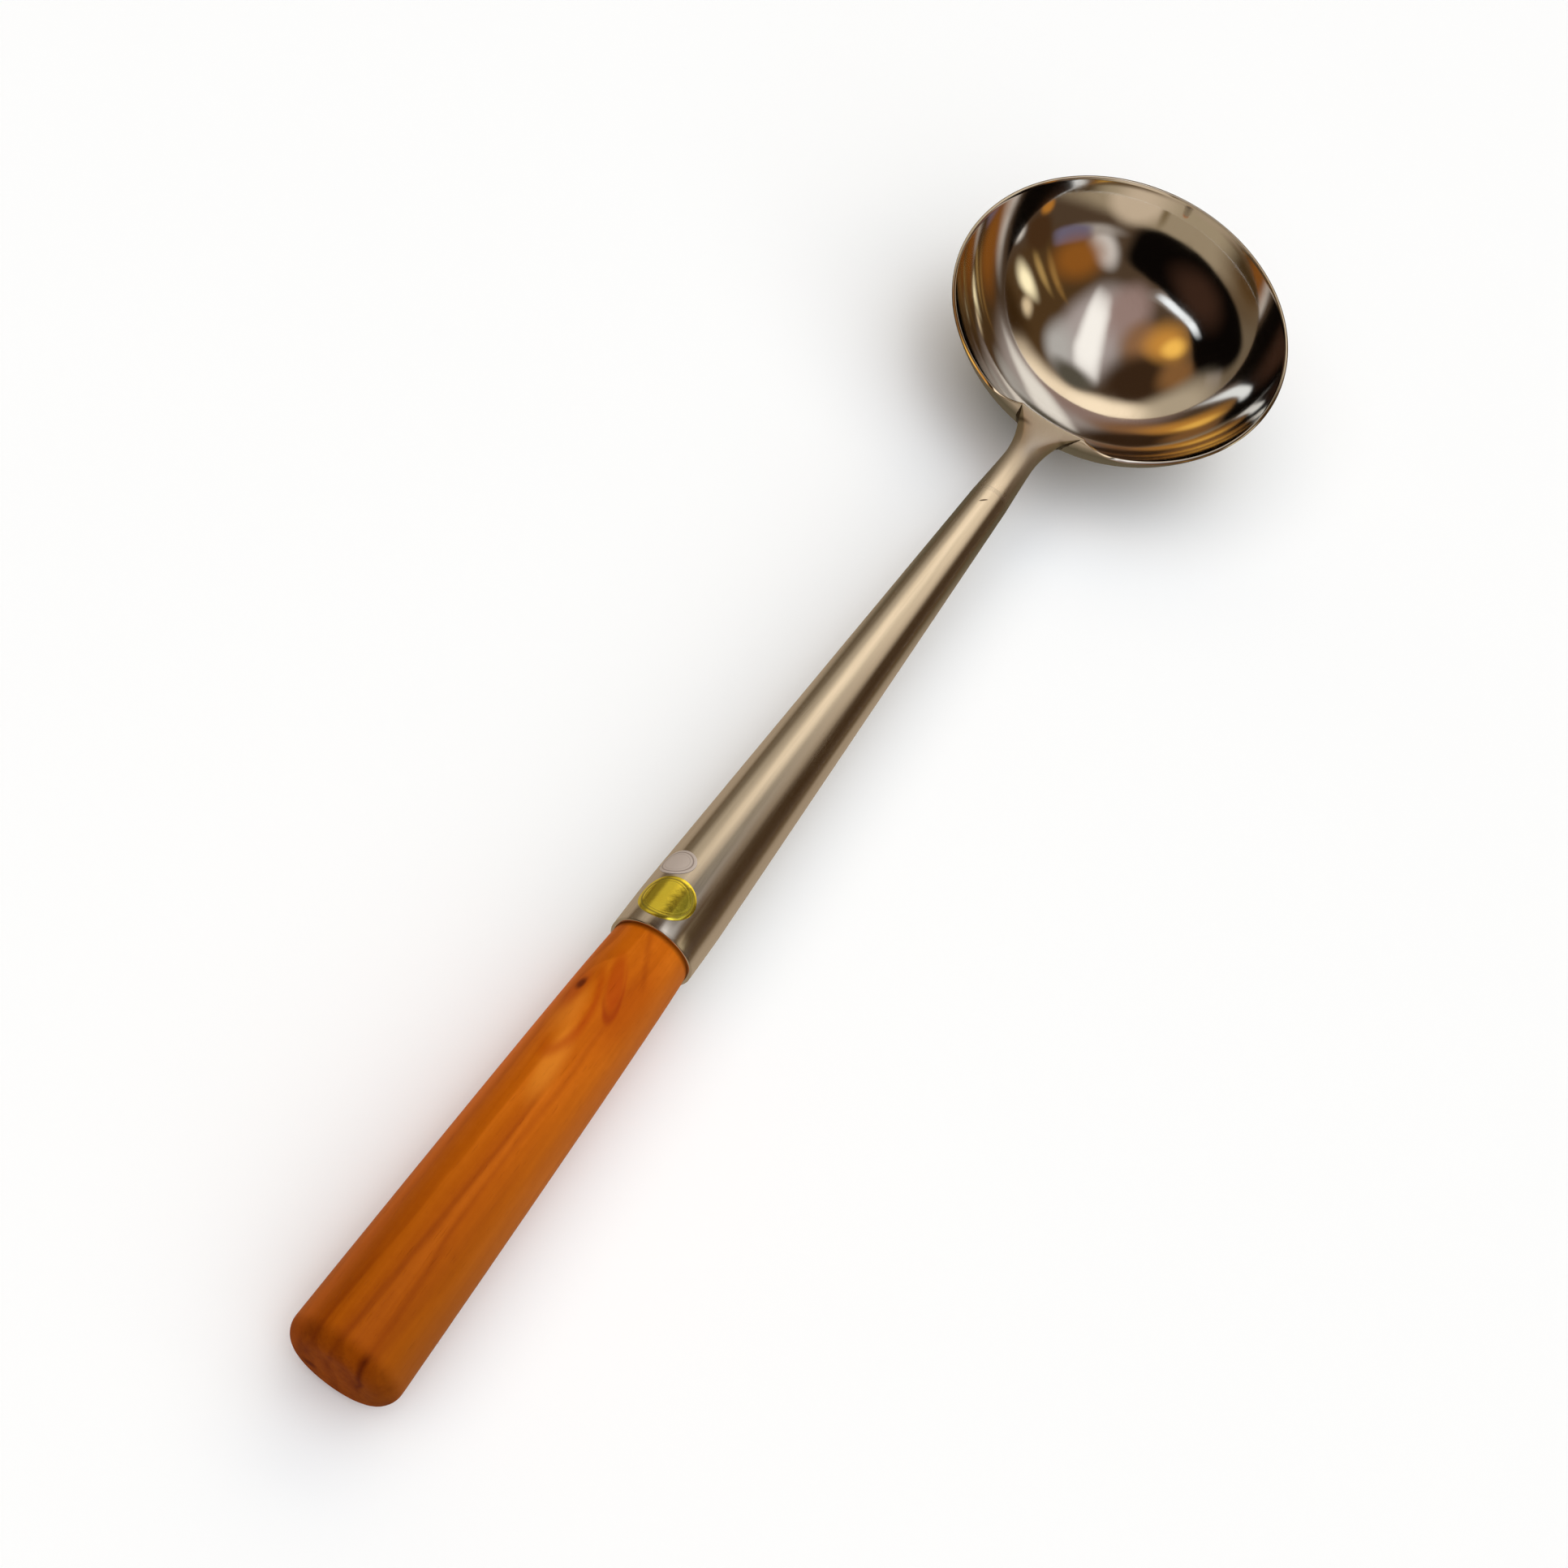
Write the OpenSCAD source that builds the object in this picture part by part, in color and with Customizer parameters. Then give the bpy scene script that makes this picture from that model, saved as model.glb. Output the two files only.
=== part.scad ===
// Wok ladle lying on a table, millimetres, +Z up.
// The bowl is at -X and the handle runs to +X. The origin is under the middle of the ladle.

/* [Bowl] */
// Outside diameter of the bowl across its rim
bowl_d = 115; // [95:1:135]
// Depth of the bowl from the rim to the outside of its bottom
bowl_depth = 38; // [32:0.5:46]
// Thickness of the bowl's sheet
bowl_wall = 1.2; // [0.8:0.1:2]

/* [Lip] */
// Height of the raised lip above the rim, where the neck joins the bowl
lip_h = 8; // [6:0.5:12]
// Width of the lip along its top edge
lip_w = 22; // [18:0.5:28]
// Width of the lip where its sides run out into the rim
lip_base_w = 52; // [42:1:60]
// Distance of the lip's middle to the right of the handle's axis
lip_shift = 2; // [-3:0.5:3]

/* [Neck] */
// Angle of the handle above the plane of the rim, in degrees
handle_rise = 10.6; // [8:0.2:16]
// Depth of the handle's axis below the rim, where it meets the bowl
axis_drop = 5; // [4:0.2:10]
// Diameter of the neck at its waist
neck_d = 10.4; // [8:0.2:13]
// Diameter of the neck's rounded foot on the bowl, below the axis
foot_d = 15; // [12:0.5:18]
// Distance along the axis from the bowl to the waist
waist_x = 15; // [12:0.5:20]
// Length of the neck from the bowl to the shank
neck_l = 38; // [32:1:60]
// Length of the spigot that enters the shank
spigot_l = 12; // [8:0.5:18]
// Gap between the spigot and the bore of the shank
spigot_gap = 0.1; // [0.05:0.05:0.3]

/* [Shank] */
// Length of the shank tube
shank_l = 196.5; // [150:0.5:230]
// Outside diameter of the shank at the neck
shank_thin_d = 12.6; // [11:0.2:16]
// Outside diameter of the shank at its mouth
shank_d = 23.6; // [21:0.2:27]
// Thickness of the shank's wall
shank_wall = 1; // [0.8:0.1:1.4]
// Length of the straight end at the mouth
mouth_l = 14; // [8:1:25]

/* [Welds] */
// Leg of the fillet weld between the neck and the bowl
fillet_leg = 1.4; // [0.8:0.1:2.2]
// Width of the ring weld between the neck and the shank
ring_w = 1.6; // [1:0.1:2.4]
// Depth of the ring weld
ring_depth = 0.7; // [0.4:0.1:0.8]
// Width of the seam weld along the underside of the shank
seam_w = 1.8; // [1.2:0.1:2.6]
// Height of the seam weld above the shank
seam_h = 0.2; // [0.1:0.05:0.4]
// Gap left between a weld and the metal beside it
weld_gap = 0.03; // [0.02:0.01:0.05]

/* [Handle] */
// Length of the wooden handle outside the shank
grip_l = 127; // [100:1:150]
// Diameter of the handle at the mouth of the shank
grip_thin_d = 21.4; // [19:0.2:25]
// Diameter of the handle near its butt
grip_d = 28.4; // [25:0.2:33]
// Bend of the handle's side, 1 for a straight taper
grip_bend = 0.7; // [0.6:0.02:1]
// Radius of the rounded edge of the butt
butt_round = 5; // [4:0.5:9]
// Length of the tenon inside the shank
tenon_l = 46; // [30:1:60]
// Gap for glue between the tenon and the bore of the shank
glue_gap = 0.1; // [0.05:0.05:0.3]

/* [Nail] */
// Diameter of the nail that holds the tenon
nail_d = 2; // [1.6:0.1:2.6]
// Length of the nail under its head
nail_l = 14; // [10:0.5:18]
// Diameter of the nail's head
nail_head_d = 4.4; // [3.6:0.1:5.5]
// Thickness of the nail's head at its edge, above the shank
nail_head_h = 0.8; // [0.5:0.1:1.2]
// Distance of the nail from the mouth of the shank
nail_x = 16; // [10:1:25]
// Turn of the nail round the shank from the top, in degrees
nail_turn = 142; // [120:1:165]
// Gap between the nail and its hole
nail_gap = 0.05; // [0.03:0.01:0.1]

/* [Labels] */
// Width of the gold label round the shank
gold_w = 16; // [10:0.5:18]
// Length of the gold label along the shank
gold_l = 13.4; // [7:0.2:15]
// Distance of the gold label's middle from the mouth of the shank
gold_x = 9.8; // [8:0.2:16]
// Turn of the gold label round the shank from the top, in degrees
gold_turn = 20; // [0:1:90]
// Width of the white label round the shank
white_w = 11; // [8:0.5:14]
// Length of the white label along the shank
white_l = 8.6; // [5:0.2:10]
// Distance between the gold label and the white label
label_apart = 0.4; // [0.2:0.1:4]
// Turn of the white label round the shank from the top, in degrees
white_turn = 40; // [0:1:90]
// Thickness of a label
label_t = 0.12; // [0.08:0.02:0.2]
// Glue under a label
label_gap = 0.02; // [0.01:0.01:0.04]

/* [Hidden] */
$fn = 96;

// Points round one section of the neck
SIDES = 64;
// Steps along the flare of the neck, and across its foot
FLARE_STEPS = 14;
FOOT_STEPS = 5;
// Points along a curved side
CURVE_STEPS = 12;
// Bend of the flare of the neck, and of the sides of the lip
FLARE_BEND = 2.4;
LIP_BEND = 1.6;
// Oversize of a cutting body beyond what it cuts
OVER = 5;

// Ball that the bowl's outside lies on
ball_r = (pow(bowl_d / 2, 2) + pow(bowl_depth, 2)) / (2 * bowl_depth);
ball_z = ball_r - bowl_depth;
// Point where the handle's axis meets the ball
axis_start = [sqrt(pow(ball_r, 2) - pow(ball_z + axis_drop, 2)), 0, -axis_drop];
// Stations along the handle's axis
mouth_x = neck_l + shank_l;
butt_x = mouth_x + grip_l;
bore_r = shank_d / 2 - shank_wall;
// Outside of the shank narrows along its tapered length
taper_l = shank_l - mouth_l;
function shank_r(x) =
    shank_thin_d / 2 + (shank_d - shank_thin_d) / 2 * min(1, (x - neck_l) / taper_l);

// Middle of the round at the butt's lowest edge, in the plane of symmetry
butt_mid = [
    axis_start[0] + (butt_x - butt_round) * cos(handle_rise) + (grip_d / 2 - butt_round) * sin(handle_rise),
    axis_start[2] + (butt_x - butt_round) * sin(handle_rise) - (grip_d / 2 - butt_round) * cos(handle_rise)
];
// Lean that puts the bowl and the butt on the table together
to_butt = [butt_mid[0], butt_mid[1] - ball_z];
lean = asin((ball_r - butt_round) / norm(to_butt)) + atan2(to_butt[1], to_butt[0]);
// Ends of the ladle along X while it lies on the table
dip = lean - handle_rise;
rim_below = asin(ball_z / ball_r);
far_x = rim_below > lean ? -bowl_d / 2 * cos(lean) : ball_z * sin(lean) - ball_r;
near_x = axis_start[0] * cos(lean) + axis_start[2] * sin(lean)
    + (butt_x - butt_round) * cos(dip) + (grip_d / 2 - butt_round) * abs(sin(dip)) + butt_round;
rest_move = [-(far_x + near_x) / 2, 0, ball_r - ball_z * cos(lean)];

// Moves a piece from the rim's frame, or from the handle's axis, to where it lies on the table
module at_rest() {
    translate(rest_move)
        rotate([0, lean, 0])
            children();
}

module on_axis() {
    at_rest()
        translate(axis_start)
            rotate([0, -handle_rise, 0])
                children();
}

// Turns a profile of [distance along the axis, radius] points about the handle's axis
module turned(profile) {
    rotate([0, 90, 0])
        rotate_extrude()
            polygon([for (p = profile) [p[1], p[0]]]);
}

// Point of the rim's frame, as seen from the start of the handle's axis
function to_axis(p) =
    let (d = p - axis_start)
    [d[0] * cos(handle_rise) + d[2] * sin(handle_rise), d[1],
     d[2] * cos(handle_rise) - d[0] * sin(handle_rise)];

// Height of the lip's edge above the rim at a distance from its middle
function lip_z(y) =
    let (a = lip_w / 2, b = lip_base_w / 2)
    abs(y) <= a ? lip_h : lip_h * pow(max(0, (b - abs(y)) / (b - a)), LIP_BEND);

// Outline of the neck's foot on the bowl, as [across, height above the rim]
function foot_side(side, u) =
    [
        side * foot_d / 2 + (side * (lip_w - foot_d) / 2 + lip_shift) * pow(max(0, u), 1.5),
        -axis_drop + (lip_h + axis_drop) * u
    ];
function foot_outline(turn) =
    turn <= 60 ? foot_side(1, turn / 60)
    : turn <= 120 ? [lip_shift + lip_w / 2 * (90 - turn) / 30, lip_h]
    : turn <= 180 ? foot_side(-1, (180 - turn) / 60)
    : [foot_d / 2 * cos(turn), -axis_drop + foot_d / 2 * sin(turn)];

// Point of the bowl's outside under a point of the foot, seen from the start of the axis
function on_bowl(p, gap) =
    to_axis([sqrt(pow(ball_r + gap, 2) - pow(p[0], 2) - pow(p[1] - ball_z, 2)), p[0], p[1]]);
function foot_grown(turn, by) =
    let (d = foot_outline(turn + 1) - foot_outline(turn - 1))
    foot_outline(turn) + by * [d[1], -d[0]] / norm(d);
function foot_scaled(turn, s) =
    let (p = foot_outline(turn))
    [p[0] * s, -axis_drop + (p[1] + axis_drop) * s];

// Surface of the neck's flare, from the foot (u = 0) to the waist (u = 1)
function flare(turn, u) =
    let (
        a = on_bowl(foot_outline(turn), weld_gap),
        b = [waist_x, neck_d / 2 * cos(turn), neck_d / 2 * sin(turn)],
        w = pow(1 - u, FLARE_BEND)
    )
    [a[0] + (b[0] - a[0]) * u, b[1] + (a[1] - b[1]) * w, b[2] + (a[2] - b[2]) * w];

function turn_at(i) = i * 360 / SIDES;
function ring(x, r) = [for (i = [0:SIDES - 1]) [x, r * cos(turn_at(i)), r * sin(turn_at(i))]];

function middle(points) = [for (p = points) 1] * points / len(points);

// Closed body through a row of rings that each have the same number of points
module through_rings(rings) {
    n = len(rings[0]);
    m = len(rings);
    last = (m - 1) * n;
    polyhedron(
        points = concat([for (r = rings) for (p = r) p], [middle(rings[0]), middle(rings[m - 1])]),
        faces = [
            for (i = [0:n - 1])
                let (j = (i + 1) % n)
                each concat(
                    [[i, j, m * n], [last + j, last + i, m * n + 1]],
                    [for (k = [0:n:last - n]) each [
                        [k + i, k + n + i, k + j],
                        [k + j, k + n + i, k + n + j]
                    ]]
                )
        ]
    );
}

// Pressed round bowl with the lip raised from its wall
module bowl() {
    side = [for (i = [0:CURVE_STEPS])
        let (y = lip_base_w / 2 + (lip_w - lip_base_w) / 2 * i / CURVE_STEPS) [y, lip_z(y)]];
    color([0.83, 0.81, 0.78])
        at_rest()
            difference() {
                intersection() {
                    translate([0, 0, ball_z])
                        sphere(r = ball_r);
                    union() {
                        translate([-ball_r - OVER, -ball_r - OVER, -2 * ball_r])
                            cube([2 * (ball_r + OVER), 2 * (ball_r + OVER), 2 * ball_r]);
                        translate([0, lip_shift, 0])
                            rotate([90, 0, 90])
                                linear_extrude(ball_r + OVER)
                                    polygon(concat(
                                        [[lip_base_w / 2, -OVER]],
                                        side,
                                        [for (i = [CURVE_STEPS:-1:0]) [-side[i][0], side[i][1]]],
                                        [[-lip_base_w / 2, -OVER]]
                                    ));
                    }
                }
                translate([0, 0, ball_z])
                    sphere(r = ball_r - bowl_wall);
            }
}

// Solid neck that flares to the bowl and has a spigot for the shank
module neck() {
    joint_r = shank_r(neck_l);
    inner_r = joint_r - shank_wall - spigot_gap;
    color([0.72, 0.69, 0.64])
        on_axis()
            through_rings(concat(
                [for (k = [1:FOOT_STEPS]) [for (i = [0:SIDES - 1])
                    on_bowl(foot_scaled(turn_at(i), k / FOOT_STEPS), weld_gap)]],
                [for (k = [1:FLARE_STEPS]) [for (i = [0:SIDES - 1]) flare(turn_at(i), k / FLARE_STEPS)]],
                [for (k = [1:CURVE_STEPS])
                    let (
                        u = k / CURVE_STEPS,
                        x = waist_x + (neck_l - ring_w / 2 - waist_x) * u
                    )
                    ring(x, neck_d / 2 + (joint_r - neck_d / 2) * pow(u, 1.15))],
                [ring(neck_l - weld_gap, joint_r - ring_depth)],
                [ring(neck_l - weld_gap, inner_r)],
                [ring(neck_l + spigot_l - 1, inner_r)],
                [ring(neck_l + spigot_l, inner_r - 1)]
            ));
}

// Fillet of weld round the sides and the underside of the neck's foot
module bowl_weld() {
    first = 125;
    last = 415;
    steps = 56;
    color([0.6, 0.57, 0.52])
        on_axis()
            through_rings([for (k = [0:steps])
                let (
                    t = (first + (last - first) * k / steps) % 360,
                    f = fillet_leg * min(1, 0.25 + 0.12 * min(k, steps - k)),
                    outward = 2 * weld_gap * [0, cos(t), sin(t)],
                    neck_toe = flare(t, f / waist_x) + outward,
                    bowl_toe = on_bowl(foot_grown(t, f), 2 * weld_gap)
                )
                [
                    neck_toe,
                    (neck_toe + bowl_toe) / 2 + f * [0.1, 0, 0],
                    bowl_toe,
                    on_bowl(foot_grown(t, 2 * weld_gap), 2 * weld_gap)
                ]]);
}

// Ring of weld, ground flush, where the neck meets the shank
module neck_weld() {
    r = shank_r(neck_l);
    h = ring_w / 2 - weld_gap;
    color([0.66, 0.63, 0.58])
        on_axis()
            turned([
                [neck_l, r - ring_depth + weld_gap],
                [neck_l + h, shank_r(neck_l + h)],
                [neck_l - h, r - weld_gap]
            ]);
}

// Section of the shank's wall, with its outside moved out by grow
function shank_section(grow, lead) = [
    [neck_l + lead, shank_r(neck_l) - ring_depth],
    [neck_l + lead + ring_w / 2, shank_r(neck_l + ring_w / 2) + grow],
    [mouth_x - mouth_l, shank_d / 2 + grow],
    [mouth_x - lead, shank_d / 2 + grow],
    [mouth_x - lead, bore_r],
    [mouth_x - mouth_l, bore_r],
    [neck_l + lead, shank_r(neck_l) - shank_wall]
];

module seam_slot(gap) {
    translate([neck_l - OVER, -seam_w / 2 + gap, -shank_d])
        cube([shank_l + 2 * OVER, seam_w - 2 * gap, shank_d]);
}

// Place of the nail on the shank, with its own +Z out of the shank
module at_nail() {
    translate([mouth_x - nail_x, 0, 0])
        rotate([nail_turn, 0, 0])
            children();
}

// Tapered tube rolled from sheet, open along its seam until it is welded
module shank() {
    color([0.74, 0.7, 0.63])
        on_axis()
            difference() {
                turned(shank_section(0, 0));
                seam_slot(0);
                at_nail()
                    cylinder(h = shank_d, d = nail_d + 2 * nail_gap);
            }
}

// Bead of weld that closes the seam under the shank
module seam_weld() {
    color([0.64, 0.6, 0.54])
        on_axis()
            intersection() {
                turned(shank_section(seam_h, 0.5));
                seam_slot(weld_gap);
            }
}

// Turned wooden handle with a tenon inside the shank
module handle() {
    r0 = grip_thin_d / 2;
    r1 = grip_d / 2;
    side_l = grip_l - butt_round;
    side = [for (i = [0:CURVE_STEPS])
        let (u = i / CURVE_STEPS)
        [mouth_x + side_l * u, r0 + (r1 - r0) * pow(u, grip_bend)]];
    edge = [for (i = [1:8])
        let (a = i * 90 / 8)
        [butt_x - butt_round + butt_round * sin(a), r1 - butt_round + butt_round * cos(a)]];
    tenon_r = min(bore_r - glue_gap, r0);
    tenon_end_r = shank_r(mouth_x - tenon_l) - shank_wall - glue_gap;
    color([0.62, 0.33, 0.12])
        on_axis()
            difference() {
                turned(concat(
                    [[mouth_x - tenon_l, 0]],
                    [[mouth_x - tenon_l, tenon_end_r - 1.5]],
                    [[mouth_x - tenon_l + 1.5, tenon_end_r - 0.05]],
                    [[mouth_x - mouth_l, tenon_r]],
                    [[mouth_x + 0.3, tenon_r]],
                    [for (i = [1:CURVE_STEPS]) side[i]],
                    edge,
                    [[butt_x, 0]]
                ));
                at_nail()
                    translate([0, 0, shank_d / 2 - nail_l - 1])
                        cylinder(h = shank_d, d = nail_d + 2 * nail_gap);
            }
}

// Nail through the shank into the tenon
module nail() {
    seat = shank_d / 2 + weld_gap;
    color([0.55, 0.54, 0.52])
        on_axis()
            at_nail()
                rotate_extrude()
                    polygon([
                        [0, seat - nail_l],
                        [0.2, seat - nail_l],
                        [nail_d / 2, seat - nail_l + 2.5],
                        [nail_d / 2, seat],
                        [nail_head_d / 2, seat],
                        [nail_head_d / 2, seat + nail_head_h * 0.6],
                        [nail_head_d / 2 - 0.6, seat + nail_head_h],
                        [0, seat + nail_head_h]
                    ]);
}

// Thin oval label that follows the outside of the shank
module label(w, l, x, turn) {
    mid = mouth_x - x;
    reach = l / 2 + 1;
    from = mid - reach;
    to = min(mid + reach, mouth_x);
    inner = label_gap;
    outer = label_gap + label_t;
    bend_x = mouth_x - mouth_l;
    ends = from < bend_x && to > bend_x ? [from, bend_x, to] : [from, to];
    half_turn = w / shank_r(mid) * 90 / PI;
    half_w = shank_r(mid) * sin(half_turn);
    on_axis()
        intersection() {
            turned(concat(
                [for (s = ends) [s, shank_r(s) + outer]],
                [for (i = [len(ends) - 1:-1:0]) [ends[i], shank_r(ends[i]) + inner]]
            ));
            translate([mid, 0, 0])
                rotate([turn, 0, 0])
                    linear_extrude(shank_d)
                        polygon([for (i = [0:47]) [l / 2 * cos(i * 7.5), half_w * sin(i * 7.5)]]);
        }
}

module gold_label() {
    color([0.86, 0.7, 0.2])
        label(gold_w, gold_l, gold_x, gold_turn);
}

module white_label() {
    color([0.9, 0.84, 0.8])
        label(white_w, white_l, gold_x + gold_l / 2 + label_apart + white_l / 2, white_turn);
}

bowl();
neck();
bowl_weld();
neck_weld();
shank();
seam_weld();
handle();
nail();
gold_label();
white_label();
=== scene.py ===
"""Dressed model of a wok ladle: steel bowl, neck and hollow shank on a wooden handle."""

import logging
import math
from contextlib import contextmanager
from dataclasses import dataclass
from enum import Enum
from typing import Any, Callable, ClassVar, Iterator, List, Mapping, Optional, Sequence, Tuple, Union

import bpy
from mathutils import Matrix, Vector


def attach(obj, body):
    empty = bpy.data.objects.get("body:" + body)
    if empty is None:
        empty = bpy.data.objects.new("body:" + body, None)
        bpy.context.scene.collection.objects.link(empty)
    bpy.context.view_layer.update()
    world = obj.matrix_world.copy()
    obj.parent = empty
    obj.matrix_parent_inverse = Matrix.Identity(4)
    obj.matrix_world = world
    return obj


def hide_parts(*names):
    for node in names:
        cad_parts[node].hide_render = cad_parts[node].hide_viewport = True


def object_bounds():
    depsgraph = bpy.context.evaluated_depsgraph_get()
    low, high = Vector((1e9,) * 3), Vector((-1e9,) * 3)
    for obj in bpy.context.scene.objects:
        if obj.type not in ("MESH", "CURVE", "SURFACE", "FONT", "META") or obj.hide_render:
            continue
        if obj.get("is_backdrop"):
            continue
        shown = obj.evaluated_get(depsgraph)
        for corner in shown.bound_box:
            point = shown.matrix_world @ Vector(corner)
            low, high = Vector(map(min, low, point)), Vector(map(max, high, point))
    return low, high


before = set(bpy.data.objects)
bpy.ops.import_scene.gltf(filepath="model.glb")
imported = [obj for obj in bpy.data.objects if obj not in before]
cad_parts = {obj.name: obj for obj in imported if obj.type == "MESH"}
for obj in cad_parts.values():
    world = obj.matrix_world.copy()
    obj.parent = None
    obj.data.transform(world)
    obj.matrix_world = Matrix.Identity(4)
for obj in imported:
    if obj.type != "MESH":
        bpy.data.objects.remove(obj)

CAD_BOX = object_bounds()
LOG = logging.getLogger("ladle")

Body = bpy.types.Object
Socket = bpy.types.NodeSocket
Values = Mapping[str, Any]
Colour = Tuple[float, float, float]
Place = Tuple[float, float, float]
Point = Tuple[float, float]


# Layout


@dataclass(frozen=True)
class Layout:
    """Sizes that several pieces share, in metres and degrees.

    The rim frame has the bowl's rim in its XY plane and the handle toward +X.
    The axis frame runs along the handle's axis, from the bowl to the butt.
    """

    bowl_d: float = 0.115
    bowl_depth: float = 0.038
    lip_h: float = 0.0115
    fold_in: float = 0.481
    fold_down: float = 0.62
    lip_w: float = 0.022
    lip_base_w: float = 0.052
    lip_shift: float = 0.002
    lip_bend: float = 1.6
    lip_turn: float = 60.0
    handle_rise: float = 10.6
    axis_drop: float = 0.005
    neck_d: float = 0.0104
    foot_d: float = 0.015
    foot_bend: float = 1.5
    waist_x: float = 0.015
    sweep_x: float = 0.020
    sweep_bend: float = 1.2
    skin_bend: float = 2.2
    skin_ease: float = 0.07
    neck_l: float = 0.038
    neck_bend: float = 1.25
    shank_l: float = 0.1965
    shank_thin_d: float = 0.0126
    shank_d: float = 0.0236
    shank_wall: float = 0.001
    mouth_l: float = 0.014
    taper_ease: float = 0.02
    seam_w: float = 0.0018
    ring_w: float = 0.0016
    ring_depth: float = 0.0007
    grip_l: float = 0.127
    grip_d: float = 0.0284
    butt_round: float = 0.005
    gap: float = 0.00003

    @property
    def ball_r(self) -> float:
        """Radius of the ball that the bowl's outside lies on."""
        return ((self.bowl_d / 2) ** 2 + self.bowl_depth ** 2) / (2 * self.bowl_depth)

    @property
    def ball_z(self) -> float:
        """Height of the ball's middle above the rim."""
        return self.ball_r - self.bowl_depth

    @property
    def axis_start(self) -> Vector:
        """Point of the rim frame where the handle's axis meets the ball."""
        reach = math.sqrt(self.ball_r ** 2 - (self.ball_z + self.axis_drop) ** 2)
        return Vector((reach, 0.0, -self.axis_drop))

    @property
    def mouth_x(self) -> float:
        """Station of the shank's mouth along the axis."""
        return self.neck_l + self.shank_l

    @property
    def butt_x(self) -> float:
        """Station of the butt's end along the axis."""
        return self.mouth_x + self.grip_l

    @property
    def lean(self) -> float:
        """Lean that puts the bowl and the butt on the table together.

        Returns:
            The angle in radians.
        """
        rise = math.radians(self.handle_rise)
        along = self.butt_x - self.butt_round
        out = self.grip_d / 2 - self.butt_round
        start = self.axis_start
        dx = start.x + along * math.cos(rise) + out * math.sin(rise)
        dz = start.z + along * math.sin(rise) - out * math.cos(rise) - self.ball_z
        return math.asin((self.ball_r - self.butt_round) / math.hypot(dx, dz)) + math.atan2(dz, dx)

    @property
    def rim_frame(self) -> Matrix:
        """Place of the rim frame on the table.

        Returns:
            The frame's matrix.
        """
        lean = self.lean
        dip = lean - math.radians(self.handle_rise)
        below = math.asin(self.ball_z / self.ball_r)
        far_x = (-self.bowl_d / 2 * math.cos(lean) if below > lean
                 else self.ball_z * math.sin(lean) - self.ball_r)
        start = self.axis_start
        near_x = (start.x * math.cos(lean) + start.z * math.sin(lean)
                  + (self.butt_x - self.butt_round) * math.cos(dip)
                  + (self.grip_d / 2 - self.butt_round) * abs(math.sin(dip)) + self.butt_round)
        move = Vector((-(far_x + near_x) / 2, 0.0, self.ball_r - self.ball_z * math.cos(lean)))
        return Matrix.Translation(move) @ Matrix.Rotation(lean, 4, "Y")

    @property
    def axis_frame(self) -> Matrix:
        """Place of the axis frame on the table."""
        rise = Matrix.Rotation(-math.radians(self.handle_rise), 4, "Y")
        return self.rim_frame @ Matrix.Translation(self.axis_start) @ rise

    def shank_r(self, x: float) -> float:
        """Outside radius of the shank, eased where the taper ends.

        Args:
            x: Station along the axis.

        Returns:
            The radius there.
        """
        u = (x - self.neck_l) / (self.shank_l - self.mouth_l)
        ease = self.taper_ease
        if u > 1 - ease:
            t = min(1.0, (u - 1 + ease) / (2 * ease))
            u = 1 - ease + 2 * ease * (t - t * t / 2)
        return self.shank_thin_d / 2 + (self.shank_d - self.shank_thin_d) / 2 * min(1.0, u)

    def lip_z(self, y: float) -> float:
        """Height of the lip's edge above the rim.

        Args:
            y: Distance across, from the handle's axis.

        Returns:
            The height there, zero beyond the lip.
        """
        away, a, b = abs(y - self.lip_shift), self.lip_w / 2, self.lip_base_w / 2
        if away <= a:
            return self.lip_h
        return self.lip_h * max(0.0, (b - away) / (b - a)) ** self.lip_bend

    def to_axis(self, point: Vector) -> Vector:
        """Turn a point of the rim frame into one of the axis frame."""
        rise = Matrix.Rotation(math.radians(self.handle_rise), 3, "Y")
        return rise @ (point - self.axis_start)

    def on_bowl(self, y: float, z: float, gap: float) -> Vector:
        """Find the point of the bowl's outside at a place of the neck's foot.

        Args:
            y: Distance across.
            z: Height above the rim.
            gap: Distance kept off the bowl.

        Returns:
            The point in the axis frame.
        """
        x = math.sqrt((self.ball_r + gap) ** 2 - y * y - (z - self.ball_z) ** 2)
        return self.to_axis(self.folded(Vector((x, y, z))))

    def folded(self, point: Vector) -> Vector:
        """Fold a point of the lip in and down from the ball."""
        up = max(0.0, point.z)
        return point - Vector((self.fold_in * up, 0.0, self.fold_down * up))

    def foot(self, turn: float) -> Point:
        """Outline of the neck's foot on the bowl.

        Args:
            turn: Degrees round the neck, from its right side over the top.

        Returns:
            Distance across, and height above the rim.
        """
        turn %= 360
        if self.lip_turn < turn <= 180 - self.lip_turn:
            across = self.lip_w / 2 * (90 - turn) / (90 - self.lip_turn)
            return self.lip_shift + across, self.lip_h
        if turn <= 180:
            side = 1 if turn <= self.lip_turn else -1
            u = (turn if side > 0 else 180 - turn) / self.lip_turn
            spread = side * (self.lip_w - self.foot_d) / 2 + self.lip_shift
            y = side * self.foot_d / 2 + spread * u ** self.foot_bend
            return y, -self.axis_drop + (self.lip_h + self.axis_drop) * u
        a = math.radians(turn)
        return self.foot_d / 2 * math.cos(a), -self.axis_drop + self.foot_d / 2 * math.sin(a)

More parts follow.
